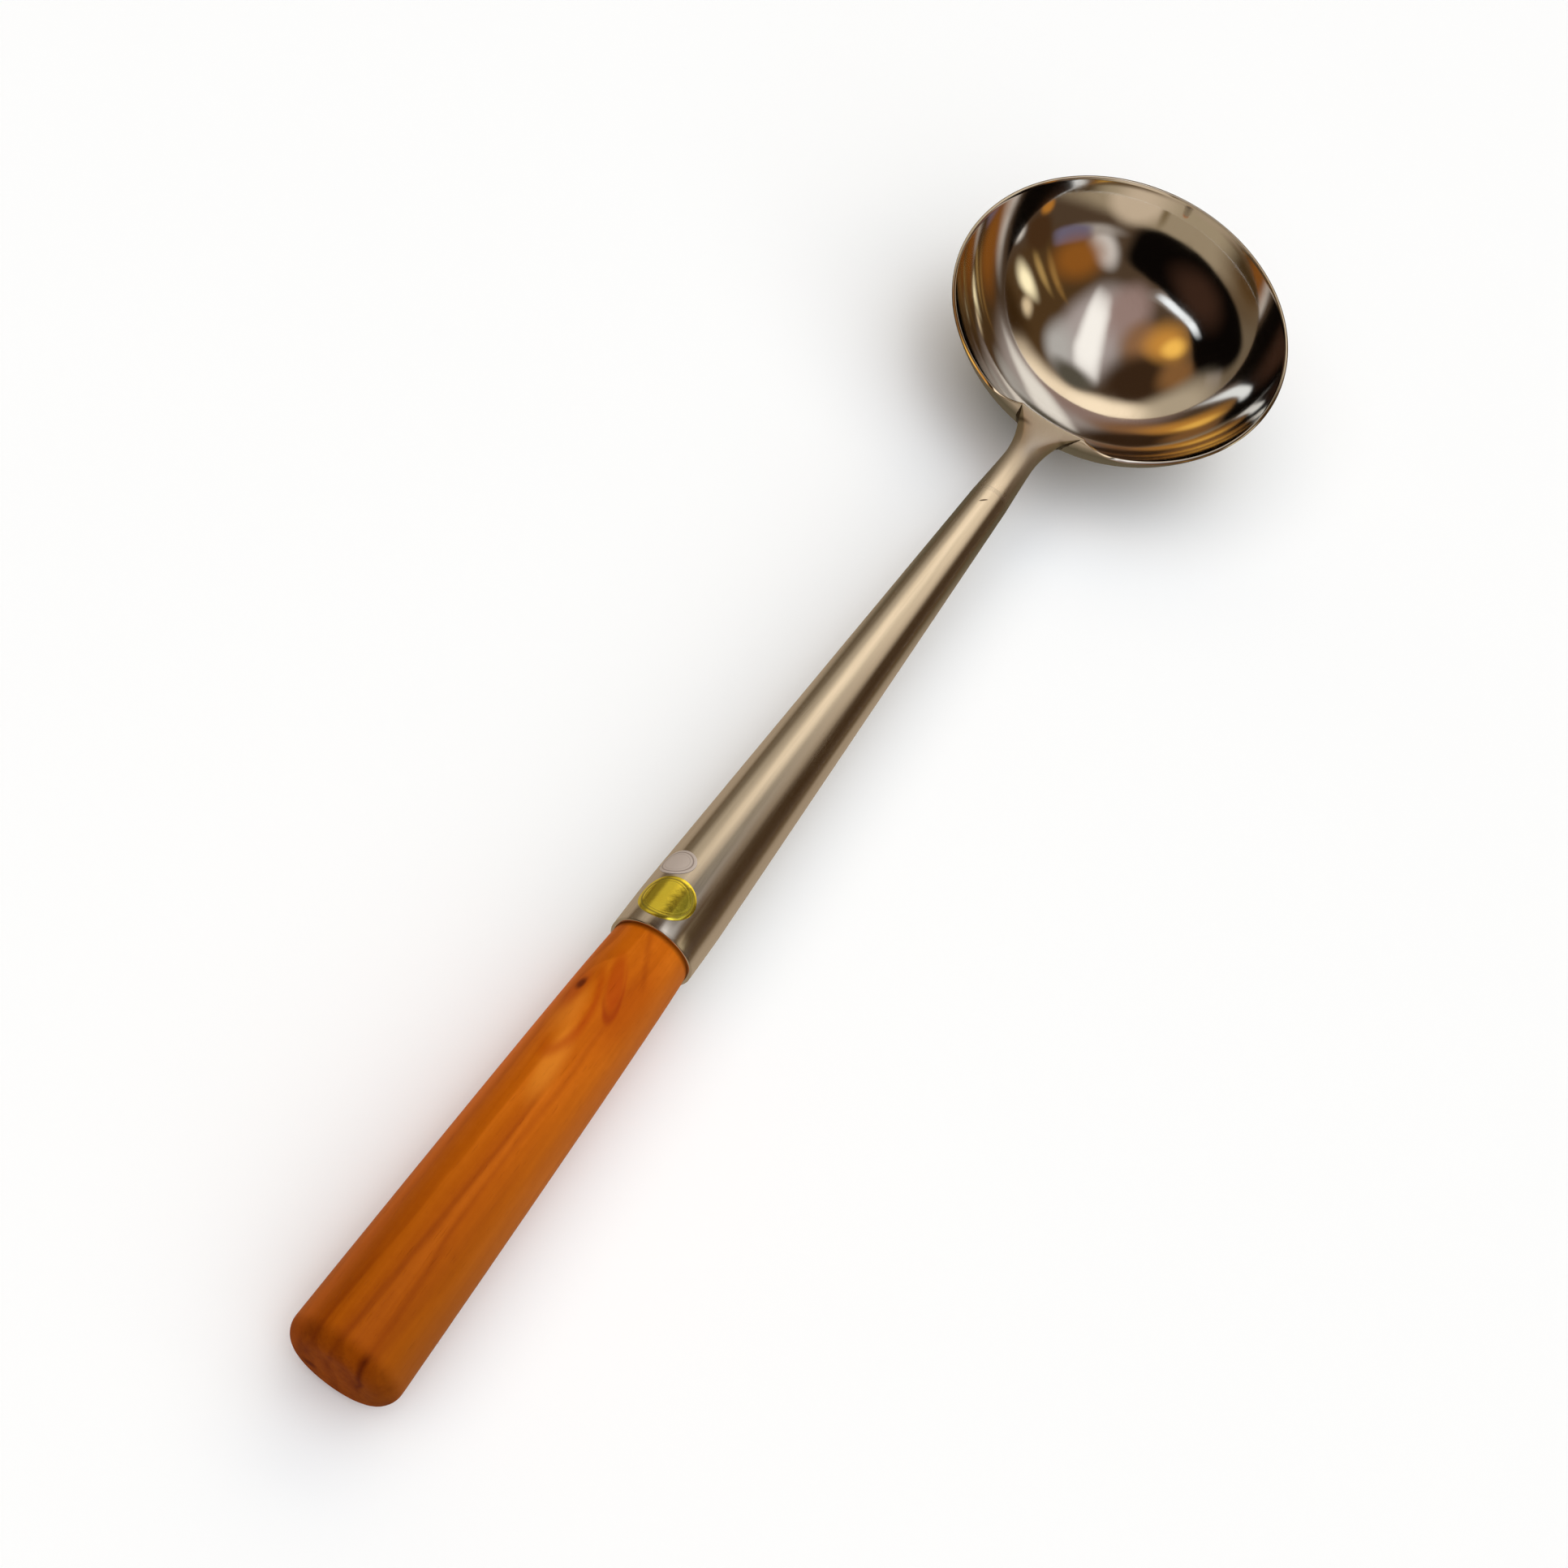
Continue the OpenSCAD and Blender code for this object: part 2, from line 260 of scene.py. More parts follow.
    def foot_grown(self, turn: float, out: float) -> Point:
        """Outline of the foot moved outward by a distance, for the weld beside it.

        Args:
            turn: Degrees round the neck.
            out: Distance moved.

        Returns:
            Distance across, and height above the rim.
        """
        (y0, z0), (y1, z1) = self.foot(turn - 1), self.foot(turn + 1)
        dy, dz = y1 - y0, z1 - z0
        size = math.hypot(dy, dz)
        y, z = self.foot(turn)
        return y + out * dz / size, z - out * dy / size

    def neck_r(self, x: float) -> float:
        """Radius of the neck's round part.

        Args:
            x: Station along the axis.

        Returns:
            The radius there.
        """
        u = max(0.0, (x - self.waist_x) / (self.neck_l - self.ring_w / 2 - self.waist_x))
        return self.neck_d / 2 + (self.shank_r(self.neck_l) - self.neck_d / 2) * u ** self.neck_bend

    def fade(self, u: float) -> float:
        """Fall from 1 at 0 to 0 at 1, with a rounded start."""
        return max(0.0, 1 - u * u / (u + self.skin_ease) * (1 + self.skin_ease)) ** self.skin_bend

    def neck_skin(self, turn: float, x: float) -> Vector:
        """Surface of the neck, which sweeps up to the lip over its top.

        Args:
            turn: Degrees round the neck.
            x: Station along the axis.

        Returns:
            The point in the axis frame.
        """
        foot = self.on_bowl(*self.foot(turn), self.gap)
        t, r = math.radians(turn), self.neck_r(x)
        y, z = r * math.cos(t), r * math.sin(t)
        up = max(0.0, math.sin(t)) ** self.sweep_bend
        top_x = self.waist_x + (self.sweep_x - self.waist_x) * up
        side = self.fade((x - foot.x) / (self.waist_x - foot.x))
        sweep = self.fade((x - foot.x) / (top_x - foot.x))
        return Vector((x, y + (foot.y - y) * side, z + (foot.z - z) * sweep))

    def flare(self, turn: float, u: float) -> Vector:
        """Point of the neck between its foot, at 0, and its waist, at 1."""
        start = self.on_bowl(*self.foot(turn), self.gap).x
        return self.neck_skin(turn, start + (self.waist_x - start) * u)


# Bench


class Bench:
    """Modelling tools, each a thin layer over Blender's operators."""

    DOUBLED: ClassVar[float] = 1e-7
    SEED: ClassVar[float] = 0.001

    @staticmethod
    def idle() -> None:
        """Leave edit mode and select nothing."""
        if bpy.context.object is not None and bpy.context.object.mode != "OBJECT":
            bpy.ops.object.mode_set(mode="OBJECT")
        bpy.ops.object.select_all(action="DESELECT")

    @classmethod
    def pick(cls, body: Body) -> None:
        """Select one object alone.

        Args:
            body: The object to select.
        """
        cls.idle()
        body.select_set(True)
        bpy.context.view_layer.objects.active = body

    @classmethod
    def start(cls, name: str, add: Callable[..., Any], **settings: Any) -> Body:
        """Add a new object with nothing else selected.

        Args:
            name: Name of the new object.
            add: Operator that adds it.
            **settings: The operator's settings.

        Returns:
            The new object.
        """
        cls.idle()
        add(**settings)
        body = bpy.context.object
        body.name = body.data.name = name
        return body

    @classmethod
    @contextmanager
    def editing(cls, body: Body, mode: str = "VERT") -> Iterator[None]:
        """Hold an object in edit mode with everything selected.

        Args:
            body: The object to edit.
            mode: Selection mode, VERT, EDGE or FACE.
        """
        cls.pick(body)
        bpy.ops.object.mode_set(mode="EDIT")
        bpy.ops.mesh.select_mode(type=mode)
        bpy.ops.mesh.select_all(action="SELECT")
        yield
        bpy.ops.object.mode_set(mode="OBJECT")

    @classmethod
    def draw(cls, name: str, points: Sequence[Vector]) -> Body:
        """Draw a line by extruding one vertex from point to point.

        Args:
            name: Name of the new object.
            points: The line's points, in order.

        Returns:
            The object that holds the line.
        """
        body = cls.start(name, bpy.ops.mesh.primitive_plane_add, size=cls.SEED, location=(0, 0, 0))
        with cls.editing(body):
            bpy.ops.mesh.merge(type="CENTER")
            bpy.ops.transform.translate(value=points[0])
            for here, there in zip(points, points[1:]):
                bpy.ops.mesh.extrude_region_move(TRANSFORM_OT_translate={"value": there - here})
        return body

    @classmethod
    def spin(cls, body: Body, axis: Place, steps: int,
             angle: float = math.tau) -> None:
        """Turn a drawn line about an axis through the origin.

        Args:
            body: Object that holds the line.
            axis: Direction of the axis.
            steps: Number of steps round.
            angle: Angle turned, in radians.
        """
        with cls.editing(body):
            bpy.ops.mesh.spin(steps=steps, angle=angle, center=(0, 0, 0), axis=axis)
        cls.weld(body)

    @classmethod
    def weld(cls, body: Body) -> None:
        """Merge doubled vertices and turn every face outward.

        Args:
            body: The object to mend.
        """
        with cls.editing(body):
            bpy.ops.mesh.remove_doubles(threshold=cls.DOUBLED)
            bpy.ops.mesh.normals_make_consistent(inside=False)

    @classmethod
    def close(cls, body: Body) -> None:
        """Fill open ends with faces.

        Args:
            body: The object to close.
        """
        with cls.editing(body, "EDGE"):
            bpy.ops.mesh.select_all(action="DESELECT")
            bpy.ops.mesh.select_non_manifold()
            bpy.ops.mesh.fill_holes(sides=0)
        cls.weld(body)

    @classmethod
    def wrap(cls, name: str, columns: int, rows: int,
             shape: Callable[[float, float], Vector]) -> Body:
        """Lay a fine grid over a curved surface.

        Args:
            name: Name of the new object.
            columns: Faces across the grid.
            rows: Faces along the grid.
            shape: Gives the place of each point from two numbers between 0 and 1.

        Returns:
            The wrapped object.
        """
        body = cls.start(name, bpy.ops.mesh.primitive_grid_add,
                         x_subdivisions=columns, y_subdivisions=rows, size=2)
        for vertex in body.data.vertices:
            vertex.co = shape((vertex.co.x + 1) / 2, (vertex.co.y + 1) / 2)
        cls.weld(body)
        return body

    @classmethod
    def modify(cls, body: Body, kind: str, **settings: Any) -> None:
        """Add a modifier and apply it.

        Args:
            body: Object to change.
            kind: Modifier type.
            **settings: Modifier settings by name.
        """
        cls.pick(body)
        bpy.ops.object.modifier_add(type=kind)
        modifier = body.modifiers[-1]
        for key, value in settings.items():
            setattr(modifier, key, value)
        bpy.ops.object.modifier_apply(modifier=modifier.name)

    @classmethod
    def place(cls, body: Body, frame_matrix: Matrix, angle: float) -> None:
        """Move a finished mesh to its place and smooth it.

        Args:
            body: Object to place.
            frame_matrix: Place of the frame that the mesh was made in.
            angle: Edges sharper than this, in degrees, stay sharp.
        """
        cls.pick(body)
        body.matrix_world = frame_matrix
        bpy.ops.object.transform_apply(location=True, rotation=True, scale=True)
        bpy.ops.object.shade_smooth_by_angle(angle=math.radians(angle))


# Shader maths


def maths(operation: str, swap: bool = False) -> Callable[..., "Num"]:
    """Make a method that adds one Math node.

    Args:
        operation: The node's operation.
        swap: Whether the number itself comes last, as in 1 - mask.

    Returns:
        The method.
    """
    def method(self: "Num", *others: "Scalar") -> "Num":
        """Add the Math node."""
        return self.graph.math(operation, *((*others, self) if swap else (self, *others)))

    return method


@dataclass(frozen=True, eq=False)
class Num:
    """A number that varies over a surface; Python's operators add Math nodes."""

    graph: "Graph"
    socket: Socket

    __add__, __radd__ = maths("ADD"), maths("ADD", True)
    __sub__, __rsub__ = maths("SUBTRACT"), maths("SUBTRACT", True)
    __mul__, __rmul__ = maths("MULTIPLY"), maths("MULTIPLY", True)
    __truediv__, __rtruediv__ = maths("DIVIDE"), maths("DIVIDE", True)
    __abs__ = maths("ABSOLUTE")
    sqrt = maths("SQRT")
    sin = maths("SINE")
    asin = maths("ARCSINE")
    atan2 = maths("ARCTAN2")
    most = maths("MAXIMUM")
    wrap = maths("WRAP")

    def step(self, low: float, high: float) -> "Num":
        """Rise smoothly from 0 to 1.

        Args:
            low: Where the rise starts.
            high: Where it ends.

        Returns:
            The risen number.
        """
        node = self.graph.add("ShaderNodeMapRange", {"interpolation_type": "SMOOTHSTEP"},
                              {"Value": self, "From Min": low, "From Max": high})
        return Num(self.graph, node.outputs["Result"])

    def band(self, middle: "Scalar", half: float, soft: float) -> "Num":
        """Stand at 1 within half of the middle and fall softly to 0 beyond."""
        return 1 - abs(self - middle).step(half - soft, half + soft)


Scalar = Union[float, Num]
Source = Union[Socket, Sequence[float]]


def squares(*parts: Num) -> Num:
    """Add up the squares of several numbers.

    Args:
        *parts: The numbers.

    Returns:
        The sum.
    """
    total = parts[0] * parts[0]
    for part in parts[1:]:
        total = total + part * part
    return total


def span(*parts: Num) -> Num:
    """Length of a vector, from its parts."""
    return squares(*parts).sqrt()


class Graph:
    """A node tree that is written as formulas."""

    def __init__(self, tree: bpy.types.NodeTree) -> None:
        """Keep the tree that nodes are added to."""
        self.tree = tree

    def find(self, kind: str) -> bpy.types.Node:
        """Find the tree's own node of a type."""
        return next(node for node in self.tree.nodes if node.type == kind)

    def add(self, kind: str, settings: Optional[Mapping[str, Any]] = None,
            inputs: Optional[Mapping[Union[str, int], Any]] = None) -> bpy.types.Node:
        """Add any node.

        Args:
            kind: Node type.
            settings: Settings by name.
            inputs: Values or links for the sockets, by name or number.

        Returns:
            The new node.
        """
        node = self.tree.nodes.new(kind)
        for key, value in (settings or {}).items():
            setattr(node, key, value)
        self.feed(node, inputs or {})
        return node

    def feed(self, node: bpy.types.Node, inputs: Mapping[Union[str, int], Any]) -> None:
        """Set or link the sockets of a node.

        Args:
            node: Node to feed.
            inputs: Values or links, by socket name or number.
        """
        for key, value in inputs.items():
            if isinstance(value, Num):
                value = value.socket
            if isinstance(value, Socket):
                self.tree.links.new(value, node.inputs[key])
            else:
                wide = node.inputs[key].type == "RGBA" and len(value) == 3
                node.inputs[key].default_value = (*value, 1.0) if wide else value

    def math(self, operation: str, *values: Scalar) -> Num:
        """Add one Math node."""
        node = self.add("ShaderNodeMath", {"operation": operation}, dict(enumerate(values)))
        return Num(self, node.outputs[0])

    def mix(self, share: Scalar, a: Source, b: Source, way: str = "MIX") -> Socket:
        """Blend two colours.

        Args:
            share: Share of the second colour.
            a: First colour.
            b: Second colour.
            way: How the second is laid on the first.

        Returns:
            The blended colour.
        """
        node = self.add("ShaderNodeMix", {"data_type": "RGBA", "blend_type": way},
                        {0: share, 6: a, 7: b})
        return node.outputs[2]

    def ramp(self, value: Num, stops: Sequence[Tuple[float, Colour]]) -> Socket:
        """Pick a colour by a number.

        Args:
            value: Number between 0 and 1.
            stops: Place and colour of each stop, in order.

        Returns:
            The colour.
        """
        node = self.add("ShaderNodeValToRGB", None, {"Fac": value})
        elements = node.color_ramp.elements
        while len(elements) < len(stops):
            elements.new(0.5)
        for element, (place, colour) in zip(elements, stops):
            element.position = place
            element.color = (*colour, 1.0)
        return node.outputs["Color"]

    def local(self, frame_matrix: Matrix) -> Socket:
        """Give object coordinates as seen from a frame of the ladle.

        Args:
            frame_matrix: Place of the frame.

        Returns:
            The coordinates.
        """
        where = self.add("ShaderNodeTexCoord").outputs["Object"]
        node = self.add("ShaderNodeMapping", {"vector_type": "TEXTURE"},
                        {"Vector": where, "Location": frame_matrix.to_translation(),
                         "Rotation": frame_matrix.to_euler()})
        return node.outputs["Vector"]

    def vector(self, operation: str, a: Source, b: Source) -> Socket:
        """Add one Vector Math node."""
        return self.add("ShaderNodeVectorMath", {"operation": operation}, {0: a, 1: b}).outputs[0]

    def xyz(self, vector: Socket) -> Tuple[Num, Num, Num]:
        """Split a vector in three."""
        node = self.add("ShaderNodeSeparateXYZ", None, {"Vector": vector})
        return tuple(Num(self, out) for out in node.outputs)

    def join(self, x: Scalar, y: Scalar, z: Scalar) -> Socket:
        """Make a vector of three numbers."""
        return self.add("ShaderNodeCombineXYZ", None, {0: x, 1: y, 2: z}).outputs[0]

    def noise(self, vector: Socket, scale: float, detail: float = 2.0,
              rough: float = 0.5, twist: float = 0.0) -> Num:
        """Add soft noise.

        Args:
            vector: Coordinates to read.
            scale: Waves per unit of the coordinates.
            detail: Number of finer layers.
            rough: Strength of the finer layers.
            twist: Distortion.

        Returns:
            Noise about one half.
        """
        node = self.add("ShaderNodeTexNoise", None, {"Vector": vector, "Scale": scale, "Detail": detail,
                                                     "Roughness": rough, "Distortion": twist})
        return Num(self, node.outputs[0])

    def drawn(self, vector: Socket, along: float, across: float, detail: float,
              rough: float = 0.5, twist: float = 0.0) -> Num:
        """Add noise that is drawn out along the first axis.

        Args:
            vector: Coordinates to read.
            along: Waves per metre along the axis.
            across: Waves per metre across it.
            detail: Number of finer layers.
            rough: Strength of the finer layers.
            twist: Distortion.

        Returns:
            Noise about one half.
        """
        grown = self.vector("MULTIPLY", vector, (along, across, across))
        return self.noise(grown, 1.0, detail, rough, twist)

    def bump(self, height: Num, distance: float,
             under: Optional[Socket] = None) -> Socket:
        """Tilt the surface by a height.

        Args:
            height: Height between 0 and 1.
            distance: What a height of 1 stands for, in metres.
            under: Bump already on the surface.

        Returns:
            The tilted normal.
        """
        inputs = {"Height": height, "Distance": distance, "Strength": 1.0}
        if under is not None:
            inputs["Normal"] = under
        return self.add("ShaderNodeBump", None, inputs).outputs["Normal"]


# Finishes


@dataclass(frozen=True)
class Finish:
    """Base of every finish."""

    name: str

    def material(self, layout: Layout) -> bpy.types.Material:
        """Make the material.

        Args:
            layout: Sizes and frames of the ladle.

        Returns:
            The finished material.
        """
        made = bpy.data.materials.new(self.name)
        made.use_nodes = True
        graph = Graph(made.node_tree)
        graph.feed(graph.find("BSDF_PRINCIPLED"), self.paint(graph, layout))
        return made

    def paint(self, graph: Graph, layout: Layout) -> Values:
        """Give the values of the shader's sockets."""
        raise NotImplementedError


@dataclass(frozen=True)
class PolishedSteel(Finish):
    """Pressed and polished sheet with a gentle swell, spun lines and wiped smears."""

    clean: Colour = (0.80, 0.775, 0.735)
    dull: Colour = (0.75, 0.715, 0.67)
    gloss: float = 0.045
    swell: float = 0.00010

    def paint(self, graph: Graph, layout: Layout) -> Values:
        """Give the values of the shader's sockets.

        Args:
            graph: Tree to add nodes to.
            layout: Sizes and frames of the ladle.

        Returns:
            A value or a link for each socket, by name.
        """
        here = graph.local(layout.rim_frame)
        x, y, _ = graph.xyz(here)
        radius, turn = span(x, y), y.atan2(x)
        swell = graph.noise(here, 30.0, 1.5)
        lines = graph.noise(graph.join(radius * 1500.0, turn * 3.0, 0.0), 1.0, 3.0, 0.6)
        smear = graph.noise(here, 60.0, 5.0, 0.62, 0.6).step(0.5, 0.8)
        return {
            "Base Color": graph.mix(smear, self.clean, self.dull),
            "Metallic": 1.0,
            "Roughness": smear * 0.05 + lines * 0.035 + self.gloss,
            "Normal": graph.bump(lines, 1.2e-6, graph.bump(swell, self.swell)),
        }


@dataclass(frozen=True)
class BrushedSteel(Finish):
    """Drawn steel with streaks along the axis, faint rub marks and a small pit."""

    clean: Colour = (0.80, 0.765, 0.715)
    dull: Colour = (0.70, 0.655, 0.59)
    gloss: float = 0.16
    foot: float = 0.0
    mouth_dark: Colour = (0.36, 0.28, 0.2)
    mouth_dark_l: float = 0.0011
    pit: Place = (0.0441, -0.0008, 0.0064)
    pit_size: Place = (0.0017, 0.0004, 0.003)
    pit_way: Point = (0.67, 0.74)
    pit_tone: Colour = (0.16, 0.11, 0.07)

    def spot(self, graph: Graph, here: Socket) -> Num:
        """Find the pit.

        Args:
            graph: Tree to add nodes to.
            here: Coordinates along the axis.

        Returns:
            1 in the pit, falling softly to 0 round it.
        """
        x, y, z = graph.xyz(graph.vector("SUBTRACT", here, self.pit))
        c, s = self.pit_way
        length, width, depth = self.pit_size
        return 1 - squares((y * c - x * s) / length, (x * c + y * s) / width, z / depth).step(0.2, 1.1)

    def paint(self, graph: Graph, layout: Layout) -> Values:
        """Give the values of the shader's sockets.

        Args:
            graph: Tree to add nodes to.
            layout: Sizes and frames of the ladle.

        Returns:
            A value or a link for each socket, by name.
        """
        here = graph.local(layout.axis_frame)
        x, _, _ = graph.xyz(here)
        streak = graph.drawn(here, 10.0, 1500.0, 3.0, 0.6)
        swell = graph.drawn(here, 14.0, 60.0, 1.0)
        smear = graph.drawn(here, 12.0, 130.0, 4.0, 0.6, 0.3).step(0.42, 0.8)
        beside = 1 - x.step(0.010, layout.neck_l)
        spot = self.spot(graph, here)
        # darker band towards the mouth's edge
        edge = x.step(layout.mouth_x - self.mouth_dark_l, layout.mouth_x - 0.0001)
        bare = graph.mix(smear * 0.7 + streak * 0.3, self.clean, self.dull)
        mouth_dark = graph.mix(edge * 0.35, bare, self.mouth_dark)
        return {
            "Base Color": graph.mix(spot * 0.8, mouth_dark, self.pit_tone),
            "Metallic": 1.0,
            "Roughness": streak * 0.12 + smear * 0.06 + spot * 0.25 + beside * self.foot + self.gloss,
            "Normal": graph.bump(streak, 4e-6, graph.bump(swell, 4e-5)),
        }


@dataclass(frozen=True)
class NeckSteel(BrushedSteel):
    """Satin steel with straw heat marks that also paint in a tan reflection near the foot, and painted
    shade in the crease beside the weld.
    """

    # straw: heat tint, which also paints in the tan reflection near the foot
    straw: Colour = (1.0, 0.965, 0.84)
    straw_and_reflection_x: Point = (0.004, 0.016)
    # crease: painted shade in the crease where the neck meets the bowl
    crease: Colour = (0.20, 0.155, 0.10)
    crease_off: float = 0.0007
    crease_y: Point = (0.004, 0.008)

    def paint(self, graph: Graph, layout: Layout) -> Values:
        """Give the values of the shader's sockets.

        Args:
            graph: Tree to add nodes to.
            layout: Sizes and frames of the ladle.

        Returns:
            A value or a link for each socket, by name.
        """
        values = dict(super().paint(graph, layout))
        here = graph.local(layout.axis_frame)
        x, y, _ = graph.xyz(here)
        ball = layout.to_axis(Vector((0.0, 0.0, layout.ball_z)))
        off = span(*graph.xyz(graph.vector("SUBTRACT", here, tuple(ball)))) - layout.ball_r
        beside = abs(y - layout.lip_shift).step(*self.crease_y)
        # painted shade along the crease beside the weld
        crease = off.band(self.crease_off, 0.0005, 0.0007) * beside * 0.85
        # heat tint near the foot, with a painted tan reflection
        warm = graph.mix(1 - x.step(*self.straw_and_reflection_x), values["Base Color"], self.straw, "MULTIPLY")
        values["Base Color"] = graph.mix(crease, warm, self.crease)
        return values


@dataclass(frozen=True)
class WeldSteel(Finish):
    """Weld metal with crescent ripples and straw-coloured heat marks."""

    bright: Colour = (0.68, 0.64, 0.58)
    burnt: Colour = (0.36, 0.25, 0.15)
    ripple: float = 0.0011
    bow: float = 1.2e6

    def paint(self, graph: Graph, layout: Layout) -> Values:
        """Give the values of the shader's sockets.

        Args:
            graph: Tree to add nodes to.
            layout: Sizes and frames of the ladle.

        Returns:
            A value or a link for each socket, by name.
        """
        here = graph.local(layout.axis_frame)
        x, y, _ = graph.xyz(here)
        shake = graph.noise(here, 500.0, 2.0)
        phase = x / self.ripple + y * y * self.bow + shake * 0.8
        crest = (phase * math.tau).sin() * 0.5 + 0.5
        heat = graph.noise(here, 240.0, 3.0, 0.55)
        grain = graph.noise(here, 2600.0, 2.0)
        return {
            "Base Color": graph.mix(heat.step(0.42, 0.7) * 0.6 + crest * 0.12, self.bright, self.burnt),
            "Metallic": 1.0,
            "Roughness": heat * 0.2 + grain * 0.12 + 0.14,
            "Normal": graph.bump(crest, 5e-5, graph.bump(grain, 8e-6)),
        }


@dataclass(frozen=True)
class Mark:
    """Soft oval in the wood, placed along and across the handle as seen from above."""

    at: Point
    size: Point
    slope: float = 0.0
    share: float = 1.0
    tone: Colour = (1.0, 1.0, 1.0)
    way: str = "MIX"

    def reach(self, graph: Graph, here: Socket) -> Num:
        """Distance from the oval's middle.

        Args:
            graph: Tree to add nodes to.
            here: Coordinates along the axis.

        Returns:
            0 at the middle and 1 on the oval.
        """
        x, y, _ = graph.xyz(here)
        along = x - self.at[0]
        return span(along / self.size[0], (y - self.at[1] - along * self.slope) / self.size[1])

    def cover(self, graph: Graph, here: Socket) -> Num:
        """Stand at 1 in the middle of the oval and fall softly to 0 at its edge."""
        return 1 - self.reach(graph, here).step(0.25, 1.1)


@dataclass(frozen=True)
class Vein:
    """Dark line along the grain, which drifts across between two stations."""

    y: float
    start: float
    drift: float
    drift_x: Point


@dataclass(frozen=True)
class PaintedLightStrip:
    """Painted shade and sheen along the wood's side, with none inside one line and its full share outside
    another.
    """

    inside: float
    outside: float
    share: float
    tone: Colour
    way: str = "MIX"


